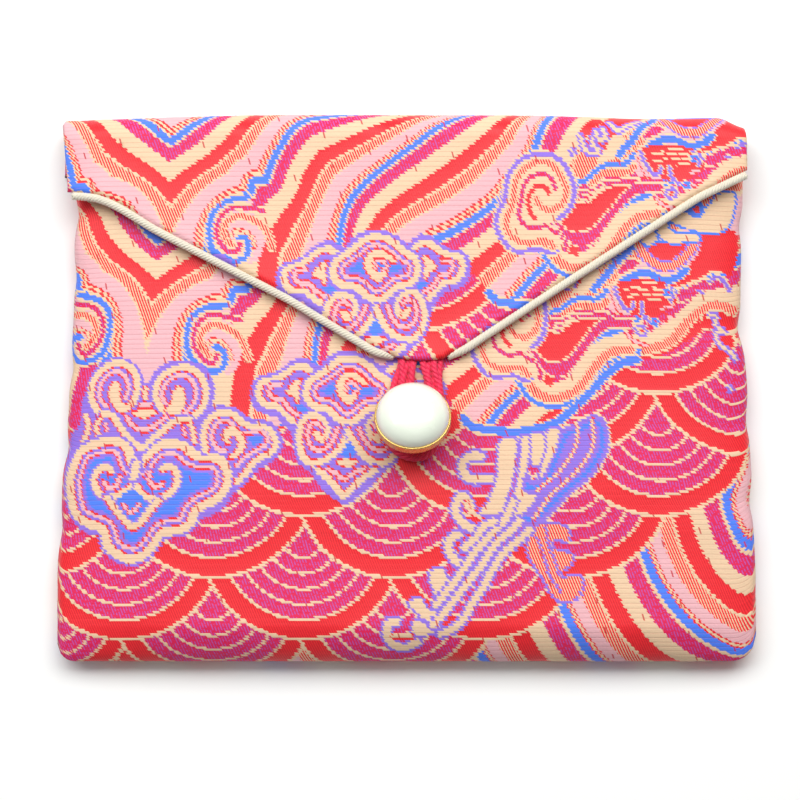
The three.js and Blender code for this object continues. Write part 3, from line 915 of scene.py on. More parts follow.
def enclosed(at, line):
    """Which points a closed line goes round."""
    hit = np.zeros(len(at), bool)
    for (ax, ay), (bx, by) in zip(line[:-1], line[1:]):
        if ay != by:
            crosses = (ay > at[:, 1]) != (by > at[:, 1])
            hit ^= crosses & (at[:, 0] < (bx - ax) * (at[:, 1] - ay) / (by - ay) + ax)
    return hit


def lay(weave, at, depth_of, bands, line, reach):
    """Lays a motif's bands on the points near its line, by the depth that depth_of measures."""
    near = np.flatnonzero(((at > line.min(0) - reach) & (at < line.max(0) + reach)).all(1))
    depth = depth_of(at[near], line)
    kept = (depth > min(bands[0][0], 0)) & (depth < bands[-1][0])
    weave[near[kept]] = pick(bands, depth[kept])


def lay_stroke(weave, at, bands, points):
    """Bands on both sides of a line, from its middle outwards."""
    reach = bands[-1][0]
    lay(weave, at, lambda p, line: np.abs(distance(p, line, reach)), bands, eased_line(points), reach)


def lay_ribbon(weave, at, bands, points):
    """Bands across a line, from its left side to its right."""
    reach = max(-bands[0][0], bands[-1][0])
    lay(weave, at, lambda p, line: -distance(p, line, reach), bands, eased_line(points), reach)


def lay_blob(weave, at, bands, points):
    """Bands from the border of a closed line inwards."""
    rim = -min(bands[0][0], 0)
    reach = max(rim, bands[-2][0])

    def depth(p, line):
        far = np.minimum(np.abs(distance(p, line, reach)), bands[-1][0] - 0.001)
        return far * np.where(enclosed(p, line), 1, -1)
    lay(weave, at, depth, bands, eased_line(points, closed=True), rim)


def lay_ring(weave, at, bands, points):
    """Bands round a single point."""
    lay(weave, at, lambda p, line: np.hypot(*(p - line[0]).T), bands, np.array(points), bands[-1][0])


LAYERS = {
    "stroke": lay_stroke,
    "ribbon": lay_ribbon,
    "blob": lay_blob,
    "ring": lay_ring,
}


def lay_scales(weave, at):
    """Fish-scale waves over the standing water, each row over the one below it."""
    (ax, ay), (bx, by) = on_design("front", "photo", SHORE)
    for row in range(-1, SCALE_ROWS):
        foot_y = SCALE_FOOT[1] + SCALE_RISE * row
        for column in range(-4, 5):
            foot_x = SCALE_FOOT[0] + SCALE_PITCH * (column + 0.5 * (row % 2))
            if foot_x > ax - SCALE_PITCH / 4 and foot_y < ay + (foot_x - ax) * (by - ay) / (bx - ax):
                continue
            far = np.hypot(at[:, 0] - foot_x, at[:, 1] - foot_y - SCALE_RADIUS)
            kept = far < SCALE_RADIUS
            weave[kept] = pick(BANDS["scale"], far[kept])


def rising_stripes(at):
    """Yarns of the stripes that rise from the heart's axis, mirrored about it."""
    start, end = on_design("front", "photo", HEART_AXIS)
    run = end - start
    across = np.array((-run[1], run[0])) / math.hypot(*run)
    half = at - np.outer(2 * np.minimum((at - start) @ across, 0), across)
    past = []
    for guide in RISING_GUIDES:
        line = eased_line(np.concatenate([on_design("flap", crop, points) for crop, points in guide]))
        ends = line[[0, -1]] + 20 * (line[[0, -1]] - line[[2, -3]])
        past.append(distance(half, np.concatenate([ends[:1], line, ends[1:]])))
    phase = past[0] / STRIPE_PITCH
    for count, (low, high) in enumerate(zip(past[:-1], past[1:])):
        share = low / np.where(high < 0, low - high, 1)
        phase = np.where(low > 0, count + np.where(high < 0, np.clip(share, 0, 1), 1), phase)
    phase = np.where(past[-1] > 0, len(past) - 1 + past[-1] / STRIPE_PITCH, phase)
    stripes = pick(BANDS["water"], phase % 1)
    lay_motifs(stripes, half, SCROLL_MOTIFS)
    return stripes


def woven_design(at):
    """The yarn on top at each point of the flat cloth, in mm."""
    ripple = np.hypot(*(at - POND_CENTRE).T)
    weave = pick(BANDS["pond"], (ripple - POND_FIRST) / POND_PITCH % 1)
    lay_scales(weave, at)
    risen = distance(at, on_design("front", "photo", STRIPES_FOOT)) > 0
    weave[risen] = rising_stripes(at[risen])
    lay_motifs(weave, at, MOTIFS)
    return weave


def eased(rows, column, place):
    """A column of a table at each place, eased from row to row."""
    at = rows[:, 0]
    low = np.clip(np.searchsorted(at, place, side="right") - 1, 0, len(rows) - 2)
    share = np.clip((place - at[low]) / (at[low + 1] - at[low]), 0, 1)
    share = share * share * (3 - 2 * share)
    return rows[low, column] * (1 - share) + rows[low + 1, column] * share


def rounded(across, power):
    return np.sqrt(np.maximum(1 - np.abs(across) ** power, 0))


def gathers(puckers, y):
    """How far the gathers pull a seam in at each height."""
    return sum(pull * np.exp(-(((y - at) / PUCKER_LENGTH) ** 2)) for at, pull in puckers)


def sway(x, y, phase):
    """Soft waves of cloth that lies loose."""
    first = np.sin(x / SWAY_LENGTH + phase) * np.sin(y / SWAY_LENGTH * 1.3 + 2 * phase)
    second = np.sin((x + y) / SWAY_LENGTH * 0.61 + 3 * phase)
    return SWAY * (first + second) / 2


def pocket_place(across, down, face, inset):
    """Points of the pocket's front (face 1) or back (face -1), inset by the cloth on its inside."""
    corner = np.where(across < 0, CORNER_LEFT, CORNER_RIGHT)
    half = np.where(across < 0, -POCKET_SECTIONS[0, LEFT], POCKET_SECTIONS[0, RIGHT])
    past = np.clip((np.abs(across) * half - half + corner) / corner, 0, 1)
    bottom = BOTTOM_Y + inset + corner * (1 - np.sqrt(1 - past * past))
    y = MOUTH_Y + (bottom - MOUTH_Y) * down
    left = eased(POCKET_SECTIONS, LEFT, y) + gathers(LEFT_PUCKERS, y) + inset
    right = eased(POCKET_SECTIONS, RIGHT, y) - gathers(RIGHT_PUCKERS, y) - inset
    x = left + (right - left) * (across + 1) / 2
    past_fold = 1 - np.clip((y - bottom) / BOTTOM_FOLD, 0, 1)
    rise = (1 - past_fold ** FOLD_POWER) ** (1 / FOLD_POWER)
    crown = eased(POCKET_SECTIONS, CROWN, y) - inset - SEAM_Z
    dimple = DIMPLE_DEPTH * np.exp(-((x - BUTTON_X) ** 2 + (y - BUTTON_Y) ** 2) / DIMPLE_SPREAD ** 2)
    front = SEAM_Z + (crown - dimple + sway(x, y, 0.4)) * rounded(across, SIDE_ROUNDING) * rise
    drop = (SEAM_Z - inset + BACK_FLATTENING) * rounded(across, BACK_ROUNDING) * rise
    back = np.maximum(inset, SEAM_Z - drop)
    return np.stack([x, y, np.where(face > 0, front, back)], -1)


def front_height(x, y, spread):
    """Height of the front's outside, with its crown drawn out sideways where it carries the flap."""
    level = np.minimum(y, MOUTH_Y)
    left, right = (eased(POCKET_SECTIONS, side, level) for side in (LEFT, RIGHT))
    across = np.clip((2 * x - left - right) / (right - left) / spread, -1, 1)
    return SEAM_Z + (eased(POCKET_SECTIONS, CROWN, level) - SEAM_Z) * rounded(across, SIDE_ROUNDING)


def flap_height(x, y):
    """Height of the middle of the flap's cloth, which lifts a little towards its edge."""
    near = np.clip(1 - (y - np.interp(x, *FLAP_EDGE.T)) / EDGE_REACH, 0, 1)
    inner = np.clip((HALF_WIDTH - np.abs(x)) / SIDE_REACH, 0, 1)
    lift = EDGE_LIFT * near * near * inner + sway(x, y, 1.1) * inner * 0.7
    return front_height(x, y, FLAP_SPREAD) + FLAP_REST + CLOTH / 2 + lift


def side_slant(x, flat):
    """How far the flap's left side draws in below the fold."""
    inward = np.clip((SIDE_REACH - HALF_WIDTH - x) / SIDE_REACH, 0, 1)
    return SIDE_SLANT * inward * np.clip((FLAP_FOLD_Y + SLANT_START - flat) / SLANT_LENGTH, 0, 1)


def flap_place(x, flat):
    """Middle of the flap's cloth: up over the front from its tip, round the top fold, down the back."""
    turn = np.pi * np.clip(1 - (flat - FLAP_FOLD_Y) / FOLD_ARC, 0, 1)
    reach = eased(TOP_EDGE, 1, x) - CLOTH / 2 - FLAP_FOLD_Y
    low = CLOTH / 2
    top = flap_height(x, FLAP_FOLD_Y)
    y = FLAP_FOLD_Y + reach * np.sin(turn)
    z = low + (top - low) * (1 - np.cos(turn)) / 2
    past = flat - FLAP_FOLD_Y - FOLD_ARC
    y = np.where(flat < FLAP_FOLD_Y, flat, np.where(past > 0, FLAP_FOLD_Y - past, y))
    z = np.where(flat < FLAP_FOLD_Y, flap_height(x, flat), np.where(past > 0, low, z))
    return np.stack([x + side_slant(x, flat), y, z], -1)


def flap_normal(x, flat, step=0.05):
    """Outward direction of the flap's cloth."""
    sideways = flap_place(x + step, flat) - flap_place(x - step, flat)
    along = flap_place(x, flat + step) - flap_place(x, flat - step)
    out = np.cross(sideways, along)
    return out / np.linalg.norm(out, axis=-1, keepdims=True)


def keep_mesh(bm, name):
    """Makes an object of a finished bmesh."""
    mesh = bpy.data.meshes.new(name)
    bm.to_mesh(mesh)
    bm.free()
    return show_mesh(mesh)


def show_mesh(mesh):
    piece = bpy.data.objects.new(mesh.name, mesh)
    bpy.context.scene.collection.objects.link(piece)
    mesh.shade_smooth()
    return piece


def read_points(mesh):
    points = np.empty(len(mesh.vertices) * 3)
    mesh.vertices.foreach_get("co", points)
    return points.reshape(-1, 3)


def write_points(mesh, points):
    mesh.vertices.foreach_set("co", points.ravel())
    mesh.update()


def write_uv(mesh, name, per_vertex):
    """A UV map that gives every corner its vertex's place."""
    corners = np.empty(len(mesh.loops), int)
    mesh.loops.foreach_get("vertex_index", corners)
    mesh.uv_layers.new(name=name).uv.foreach_set("vector", per_vertex[corners].ravel())


def face_values(mesh, name, size=1):
    values = np.empty(len(mesh.polygons) * size, int if size == 1 else float)
    mesh.polygons.foreach_get(name, values)
    return values.reshape(-1, size) if size > 1 else values


def weave_cells(mesh, origin, pitch, on_design, seed):
    """Gives every face the yarns on top in its sixths, with the ends of the floats staggered row by row."""
    picks = np.empty(len(mesh.loops) * 2)
    mesh.uv_layers["picks"].uv.foreach_get("vector", picks)
    corners = face_values(mesh, "loop_total")
    starts = np.concatenate([[0], np.cumsum(corners)[:-1]])
    middle = np.add.reduceat(picks.reshape(-1, 2), starts) / corners[:, None]
    cell = np.floor(middle).astype(int)
    cell -= cell.min(0)
    random = np.random.default_rng(seed).uniform(-1, 1, cell[:, 1].max() + 1)
    shift = STAGGER * (cell[:, 1] % 2 - 0.5) + STRAY * random[cell[:, 1]]

    def yarns(faces, places):
        at = on_design(places * (WARP, pitch) + (-HALF_WIDTH, origin))
        at[:, 0] += shift[faces]
        return woven_design(at)

    weave = np.repeat(yarns(slice(None), middle)[:, None], FLOAT_PARTS, 1)
    chart = np.full(cell.max(0) + 3, -1)
    chart[tuple(cell.T + 1)] = weave[:, 0]
    ring = [chart[tuple((cell + (dx, dy)).T)] for dx in range(3) for dy in range(3)]
    mixed = np.any([(near >= 0) & (near != weave[:, 0]) for near in ring], 0)
    mixed &= face_values(mesh, "normal", 3)[:, 2] > -0.3
    for part in range(FLOAT_PARTS):
        reach = 0.5 + FLOAT_SPAN * ((part + 0.5) / FLOAT_PARTS - 0.5)
        places = np.stack([np.floor(middle[mixed, 0]) + reach, middle[mixed, 1]], 1)
        weave[mixed, part] = yarns(mixed, places)
    for name, half in (("weave_left", weave[:, :3]), ("weave_right", weave[:, 3:])):
        layer = mesh.attributes.new(name, "FLOAT_VECTOR", "FACE")
        layer.data.foreach_set("vector", half.astype(float).ravel())
    return weave


def raise_floats(mesh, weave, height):
    """Lifts the cloth where long floats lie on top and lets the satin ground sink."""
    owner = np.empty(len(mesh.loops), int)
    mesh.loops.foreach_get("vertex_index", owner)
    lift = np.repeat(YARN_LIFT[weave].mean(1), face_values(mesh, "loop_total"))
    count = np.maximum(np.bincount(owner, minlength=len(mesh.vertices)), 1)
    mean = np.bincount(owner, lift, minlength=len(mesh.vertices)) / count
    normals = np.empty(len(mesh.vertices) * 3)
    mesh.vertex_normals.foreach_get("vector", normals)
    write_points(mesh, read_points(mesh) + normals.reshape(-1, 3) * mean[:, None] * height)


def build_pocket(relief):
    """One cloth folded at the bottom, seamed up both sides, with its inside."""
    panel = np.linspace(0, 1, 4 * PANEL_ROWS)
    middle = pocket_place(np.zeros_like(panel), panel, 1, 0.0)
    run = np.concatenate([[0], np.cumsum(np.linalg.norm(np.diff(middle, axis=0), axis=1))])
    down = np.interp(np.linspace(0, run[-1], PANEL_ROWS + 1), run, panel)
    inner = np.sin(np.linspace(0, np.pi / 2, INSIDE_ROWS + 1))
    rows = np.concatenate([down, down[-2::-1], inner, inner[-2::-1], down[:1]])
    face = np.repeat((1, -1, -1, 1, 1), (len(down), len(down) - 1, len(inner), len(inner) - 1, 1))
    inset = np.repeat((0.0, CLOTH, 0.0), (2 * len(down) - 1, 2 * len(inner) - 1, 1))
    flat = MOUTH_Y - np.concatenate([
        np.linspace(0, run[-1], len(down)),
        run[-1] + np.linspace(0, run[-1], len(down))[1:],
        2 * run[-1] + CLOTH + np.linspace(0, 2 * run[-1], 2 * len(inner) - 1),
        [4 * run[-1] + 2 * CLOTH],
    ])
    bm = bmesh.new()
    bmesh.ops.create_grid(bm, x_segments=COLUMNS, y_segments=len(rows) - 1, size=0.5)
    mesh = bpy.data.meshes.new("pocket_cloth")
    bm.to_mesh(mesh)
    grid = read_points(mesh) + 0.5
    across = np.round(grid[:, 0] * COLUMNS) / COLUMNS * 2 - 1
    row = np.round(grid[:, 1] * (len(rows) - 1)).astype(int)
    place = pocket_place(across, rows[row], face[row], inset[row])
    write_points(mesh, place * MM)
    pitch = run[-1] / PANEL_ROWS
    write_uv(mesh, "picks", np.stack([(across + 1) / 2 * COLUMNS, (flat[row] - MOUTH_Y) / pitch], 1))
    write_uv(mesh, "OFBake", np.stack([0.005 + 0.99 * grid[:, 0], 0.005 + 0.99 * grid[:, 1]], 1))
    bm.clear()
    bm.from_mesh(mesh)
    bmesh.ops.remove_doubles(bm, verts=bm.verts, dist=0.001 * MM)
    bmesh.ops.recalc_face_normals(bm, faces=bm.faces)
    bm.to_mesh(mesh)
    bm.free()
    fold = MOUTH_Y - run[-1]

    def on_design(cloth):
        panel = np.where(cloth[:, 1] < fold, cloth[:, 1] + REPEAT, cloth[:, 1])
        panel = np.where(panel < BOTTOM_Y - REPEAT / 2, panel + 2 * REPEAT, panel)
        return np.stack([cloth[:, 0], panel], 1)

    raise_floats(mesh, weave_cells(mesh, MOUTH_Y, pitch, on_design, seed=3), relief)
    return show_mesh(mesh), run[-1]


def cut_flap(bm):
    """Cuts the flat cloth along the flap's slanting lower edge."""
    for x in FLAP_EDGE[1:, 0]:
        whole = bm.verts[:] + bm.edges[:] + bm.faces[:]
        bmesh.ops.bisect_plane(bm, geom=whole, dist=0.001, plane_co=(x, 0, 0), plane_no=(1, 0, 0))
    for (ax, ay), (bx, by) in zip(FLAP_EDGE[:-1], FLAP_EDGE[1:]):
        faces = [f for f in bm.faces if ax < f.calc_center_median().x < bx]
        edges = list(dict.fromkeys(e for f in faces for e in f.edges))
        verts = list(dict.fromkeys(v for f in faces for v in f.verts))
        bmesh.ops.bisect_plane(
            bm, geom=verts + edges + faces, dist=0.001, plane_co=(ax, ay, 0), plane_no=(by - ay, ax - bx, 0)
        )
    right = FLAP_EDGE[-1, 0]
    waste = [
        v for v in bm.verts
        if v.co.x > right + 0.001 or v.co.y < np.interp(v.co.x, *FLAP_EDGE.T) - 0.001
    ]
    bmesh.ops.delete(bm, geom=waste, context="VERTS")


def build_flap(relief):
    """The flap's cloth, cut flat, laid over the top fold and closed at its hems."""
    left, right = FLAP_EDGE[0, 0], FLAP_EDGE[-1, 0]
    low, high = FLAP_EDGE[:, 1].min() - WEFT, FLAP_FOLD_Y + FOLD_ARC + FLAP_FOLD_Y - FLAP_ROOT_Y
    bm = bmesh.new()
    size = Matrix.Diagonal((HALF_WIDTH, (high - low) / 2, 1, 1))
    middle = Matrix.Translation((0, (high + low) / 2, 0))
    rows = round((high - low) / WEFT)
    bmesh.ops.create_grid(bm, x_segments=COLUMNS, y_segments=rows, size=1, matrix=middle @ size)
    cut_flap(bm)
    under = bmesh.ops.duplicate(bm, geom=bm.verts[:] + bm.edges[:] + bm.faces[:])["geom"]
    bmesh.ops.translate(bm, verts=[v for v in under if isinstance(v, bmesh.types.BMVert)], vec=(0, 0, -1))
    bmesh.ops.reverse_faces(bm, faces=[f for f in under if isinstance(f, bmesh.types.BMFace)])
    mesh = bpy.data.meshes.new("flap_cloth")
    bm.to_mesh(mesh)
    flat = read_points(mesh)
    x, along, side = flat[:, 0], flat[:, 1], np.where(flat[:, 2] < -0.5, -1, 1)
    hem = np.minimum(np.minimum(x - left, right - x), high - along)
    hem = np.minimum(hem, np.abs(distance(flat[:, :2], FLAP_EDGE)))
    puff = CLOTH / 2 * np.sqrt(1 - (1 - np.clip(hem / HEM - 0.002, 0, 1)) ** 2)
    place = flap_place(x, along) + flap_normal(x, along) * (side * puff)[:, None]
    write_points(mesh, place * MM)
    pitch = (high - low) / rows
    write_uv(mesh, "picks", (flat[:, :2] - (-HALF_WIDTH, low)) / (WARP, pitch))
    share = (flat[:, :2] - (left, low)) / (right - left, high - low)
    share[:, 1] = 0.005 + 0.485 * share[:, 1] + np.where(side > 0, 0.5, 0)
    share[:, 0] = 0.005 + 0.99 * share[:, 0]
    write_uv(mesh, "OFBake", share)
    bm.clear()
    bm.from_mesh(mesh)
    bmesh.ops.remove_doubles(bm, verts=bm.verts, dist=0.002 * MM)
    bm.to_mesh(mesh)
    bm.free()
    raise_floats(mesh, weave_cells(mesh, low, pitch, flap_on_design, seed=5), relief)
    area = np.trapz(high - np.interp(np.linspace(left, right, 400), *FLAP_EDGE.T), dx=(right - left) / 399)
    return show_mesh(mesh), (right - left, high - FLAP_EDGE[:, 1].min()), area


def node(tree, kind, settings=None, inputs=None):
    """A shader node with its settings, and its inputs set or linked."""
    made = tree.nodes.new(kind)
    for key, value in (settings or {}).items():
        setattr(made, key, value)
    for key, value in (inputs or {}).items():
        if isinstance(value, bpy.types.NodeSocket):
            tree.links.new(value, made.inputs[key])
        else:
            made.inputs[key].default_value = value
    return made


def math_node(tree, operation, *values):
    return node(tree, "ShaderNodeMath", {"operation": operation}, dict(enumerate(values))).outputs[0]


def mix_colour(tree, share, first, second, blend="MIX"):
    made = node(tree, "ShaderNodeMix", {"data_type": "RGBA", "blend_type": blend})
    for key, value in ((0, share), (6, first), (7, second)):
        if isinstance(value, bpy.types.NodeSocket):
            tree.links.new(value, made.inputs[key])
        else:
            made.inputs[key].default_value = value
    return made.outputs[2]


def new_material(name):
    """A material with nothing but its Principled shader."""
    material = bpy.data.materials.new(name)
    material.use_nodes = True
    tree = material.node_tree
    tree.nodes.clear()
    shader = tree.nodes.new("ShaderNodeBsdfPrincipled")
    output = tree.nodes.new("ShaderNodeOutputMaterial")
    tree.links.new(shader.outputs["BSDF"], output.inputs["Surface"])
    return material, tree, shader


def rgba(colour):
    return (*colour, 1.0)


def yarn_group():
    """Shared fuzz of spun yarn: a shade and a height from fine noise."""
    name = "Yarn fuzz"
    if name in bpy.data.node_groups:
        return bpy.data.node_groups[name]
    tree = bpy.data.node_groups.new(name, "ShaderNodeTree")
    tree.interface.new_socket("Place", in_out="INPUT", socket_type="NodeSocketVector")
    tree.interface.new_socket("Scale", in_out="INPUT", socket_type="NodeSocketFloat")
    tree.interface.new_socket("Shade", in_out="OUTPUT", socket_type="NodeSocketFloat")
    tree.interface.new_socket("Height", in_out="OUTPUT", socket_type="NodeSocketFloat")
    given = tree.nodes.new("NodeGroupInput")
    made = tree.nodes.new("NodeGroupOutput")
    noise = node(tree, "ShaderNodeTexNoise", inputs={
        "Vector": given.outputs["Place"], "Scale": given.outputs["Scale"], "Detail": 3.0, "Roughness": 0.6,
    })
    tree.links.new(math_node(tree, "MULTIPLY_ADD", noise.outputs["Fac"], 0.24, 0.88), made.inputs["Shade"])
    tree.links.new(noise.outputs["Fac"], made.inputs["Height"])
    return tree


def brocade_material(colours):
    """Jacquard: the yarn on top by cell, with ribs whose grooves carry painted shade, satin twill, hatching
    and tie-down stitches.
    """
    name = "Jacquard brocade"
    if name in bpy.data.materials:
        return bpy.data.materials[name]
    material, tree, shader = new_material(name)
    picks = node(tree, "ShaderNodeUVMap", {"uv_map": "picks"}).outputs["UV"]
    split = node(tree, "ShaderNodeSeparateXYZ", inputs={0: picks}).outputs
    column, row = (math_node(tree, "FRACT", split[axis]) for axis in "XY")
    frayed = node(tree, "ShaderNodeTexNoise", inputs={"Vector": picks, "Scale": 2.3}).outputs["Fac"]
    frayed = math_node(tree, "MULTIPLY_ADD", frayed, 0.9, -0.45)
    across = math_node(tree, "MULTIPLY", split["X"], WARP)
    along = math_node(tree, "MULTIPLY", split["Y"], WEFT)

    def choose(test, first, second):
        return node(tree, "ShaderNodeMix", inputs={0: test, 2: first, 3: second}).outputs[0]

    slant = FLOAT_SLANT * WEFT / WARP
    slanted = math_node(tree, "MULTIPLY_ADD", row, slant, math_node(tree, "ADD", column, frayed))
    first = 0.5 - FLOAT_SPAN / 2 + slant / 2
    place = math_node(tree, "MULTIPLY", math_node(tree, "SUBTRACT", slanted, first), FLOAT_PARTS / FLOAT_SPAN)
    sixths = []
    for layer in ("weave_left", "weave_right"):
        half = node(tree, "ShaderNodeAttribute", {"attribute_name": layer}).outputs["Vector"]
        sixths += node(tree, "ShaderNodeSeparateXYZ", inputs={0: half}).outputs
    cell = sixths[0]
    for count, sixth in enumerate(sixths[1:], 1):
        cell = choose(math_node(tree, "GREATER_THAN", place, float(count)), cell, sixth)

    ramp = tree.nodes.new("ShaderNodeValToRGB")
    ramp.color_ramp.interpolation = "CONSTANT"
    yarns = (
        colours.red, colours.cream, colours.pink, colours.blue, colours.lilac, colours.magenta,
        colours.cream,
    )
    while len(ramp.color_ramp.elements) < len(yarns):
        ramp.color_ramp.elements.new(1.0)
    for number, (stop, colour) in enumerate(zip(ramp.color_ramp.elements, yarns)):
        stop.position = number / len(yarns)
        stop.color = rgba(colour)
    stop_place = math_node(tree, "MULTIPLY_ADD", cell, 1 / len(yarns), 0.5 / len(yarns))
    tree.links.new(stop_place, ramp.inputs["Fac"])

    def is_yarn(number):
        return math_node(tree, "COMPARE", cell, number, 0.25)

    def diagonal(pitch, lean, width, scale=1.0):
        """Mask of diagonal lines that lean like a backslash."""
        at = math_node(tree, "MULTIPLY_ADD", along, lean, math_node(tree, "MULTIPLY", across, scale))
        phase = math_node(tree, "FRACT", math_node(tree, "DIVIDE", at, pitch))
        return math_node(tree, "LESS_THAN", phase, width)

    def noise(vector, scale, detail=2.0):
        inputs = {"Vector": vector, "Scale": scale, "Detail": detail}
        return node(tree, "ShaderNodeTexNoise", inputs=inputs).outputs["Fac"]

    def blend(colour, mask, strength, other):
        share = math_node(tree, "MULTIPLY", mask, strength)
        return mix_colour(tree, share, colour, rgba(other))

    pair = math_node(tree, "FRACT", math_node(tree, "MULTIPLY", split["Y"], 0.5))
    middle = math_node(tree, "ABSOLUTE", math_node(tree, "MULTIPLY_ADD", pair, 2.0, -1.0))
    groove = math_node(tree, "POWER", middle, 6.0)
    pick_row = math_node(tree, "FLOOR", split["Y"])
    by_row = node(tree, "ShaderNodeTexWhiteNoise", {"noise_dimensions": "1D"}, {"W": pick_row})
    row_shade = by_row.outputs["Value"]
    drawn_out = math_node(tree, "MULTIPLY", across, 0.3)
    slub_place = node(tree, "ShaderNodeCombineXYZ", inputs={0: drawn_out, 1: pick_row})
    slub = noise(slub_place.outputs[0], 1.0)
    # Painted shade in the grooves between the ribs, broken up by the slubs
    groove_shade = math_node(tree, "MULTIPLY", groove, math_node(tree, "MULTIPLY_ADD", slub, 2.4, -0.75))
    satin = diagonal(SATIN_PITCH, SATIN_LEAN, SATIN_WIDTH)
    broken = math_node(tree, "GREATER_THAN", noise(picks, 0.8), 0.47)
    fleck = math_node(tree, "MULTIPLY", diagonal(FLECK_PITCH, FLECK_LEAN, FLECK_WIDTH), broken)
    stitch = diagonal(TIE_REACH, 1.0, TIE_LENGTH, TIE_SLOPE)
    tie = math_node(tree, "MULTIPLY", diagonal(TIE_PITCH, TIE_LEAN, TIE_WIDTH), stitch)
    hatch = diagonal(HATCH_PITCH, HATCH_LEAN, HATCH_WIDTH)
    red, magenta = is_yarn(RED), is_yarn(MAGENTA)
    floats = math_node(tree, "SUBTRACT", 1.0, math_node(tree, "ADD", red, magenta))

    colour = blend(ramp.outputs["Color"], math_node(tree, "MULTIPLY", red, satin), SATIN_SHARE, colours.shade)
    colour = blend(colour, math_node(tree, "MULTIPLY", magenta, fleck), FLECK_SHARE, colours.lilac)
    colour = blend(colour, math_node(tree, "MULTIPLY", is_yarn(HATCH), hatch), 1.0, colours.red)
    colour = blend(colour, math_node(tree, "MULTIPLY", floats, tie), TIE_SHARE, colours.shade)
    # Painted shade: dark red laid into the grooves between the ribs of the floats
    colour = blend(colour, math_node(tree, "MULTIPLY", floats, groove_shade), GROOVE_SHADE_SHARE, colours.shade)
    fuzz = node(tree, "ShaderNodeGroup", {"node_tree": yarn_group()}, {"Place": picks, "Scale": 1.1})
    shade = math_node(tree, "MULTIPLY_ADD", row_shade, 0.06, 0.9)
    shade = math_node(tree, "MULTIPLY_ADD", slub, 0.14, shade)
    fibres = math_node(tree, "MULTIPLY_ADD", fuzz.outputs["Shade"], 0.6, 0.4)
    shade = math_node(tree, "MULTIPLY", shade, fibres)
    tone = node(tree, "ShaderNodeCombineColor", inputs={0: shade, 1: shade, 2: shade}).outputs[0]
    tree.links.new(mix_colour(tree, 1.0, colour, tone, "MULTIPLY"), shader.inputs["Base Color"])

    rough = math_node(tree, "MULTIPLY_ADD", red, -0.16, 0.5)
    rough = math_node(tree, "MULTIPLY_ADD", fuzz.outputs["Height"], 0.15, rough)
    tree.links.new(rough, shader.inputs["Roughness"])
    height = math_node(tree, "MULTIPLY", groove, math_node(tree, "MULTIPLY_ADD", floats, -0.5, -0.2))
    height = math_node(tree, "MULTIPLY_ADD", math_node(tree, "MULTIPLY", red, satin), -0.5, height)
    height = math_node(tree, "MULTIPLY_ADD", fuzz.outputs["Height"], 0.6, height)
    bump = node(tree, "ShaderNodeBump", inputs={"Strength": 0.7, "Distance": 0.00008, "Height": height})
    tree.links.new(bump.outputs["Normal"], shader.inputs["Normal"])
    shader.inputs["Specular IOR Level"].default_value = 0.28
    return material


def thread_material(name, colour, dark, roughness, sheen):
    """Spun thread with lighter and darker fibres."""
    material, tree, shader = new_material(name)
    place = node(tree, "ShaderNodeTexCoord").outputs["Object"]
    fuzz = node(tree, "ShaderNodeGroup", {"node_tree": yarn_group()}, {"Place": place, "Scale": 2600.0})
    broad = node(tree, "ShaderNodeTexNoise", inputs={"Vector": place, "Scale": 350.0}).outputs["Fac"]
    share = math_node(tree, "MULTIPLY", broad, math_node(tree, "SUBTRACT", 1.25, fuzz.outputs["Shade"]))
    tree.links.new(mix_colour(tree, share, rgba(colour), rgba(dark)), shader.inputs["Base Color"])
    bump = node(tree, "ShaderNodeBump", inputs={
        "Strength": 0.4, "Distance": 0.00006, "Height": fuzz.outputs["Height"],
    })
    tree.links.new(bump.outputs["Normal"], shader.inputs["Normal"])
    tree.links.new(math_node(tree, "MULTIPLY_ADD", broad, 0.2, roughness - 0.1), shader.inputs["Roughness"])
    shader.inputs["Sheen Weight"].default_value = sheen
    shader.inputs["Specular IOR Level"].default_value = 0.3
    return material


def gold_material(colour):
    """Polished plate with faint drawing marks and a darker, warmer tone in broad patches."""
    material, tree, shader = new_material("Gold plate")
    place = node(tree, "ShaderNodeTexCoord").outputs["Object"]
    broad = node(tree, "ShaderNodeTexNoise", inputs={"Vector": place, "Scale": 220.0}).outputs["Fac"]
    marks = node(tree, "ShaderNodeTexNoise", inputs={"Vector": place, "Scale": 2400.0, "Detail": 2.0})
    fine = marks.outputs["Fac"]
    warm = tuple(c * s for c, s in zip(colour, (0.86, 0.78, 0.6)))
    tree.links.new(mix_colour(tree, broad, rgba(colour), rgba(warm)), shader.inputs["Base Color"])
    tree.links.new(math_node(tree, "MULTIPLY_ADD", fine, 0.16, 0.2), shader.inputs["Roughness"])
    bump = node(tree, "ShaderNodeBump", inputs={"Strength": 0.15, "Distance": 0.00003, "Height": fine})
    tree.links.new(bump.outputs["Normal"], shader.inputs["Normal"])
    shader.inputs["Metallic"].default_value = 0.8
    return material


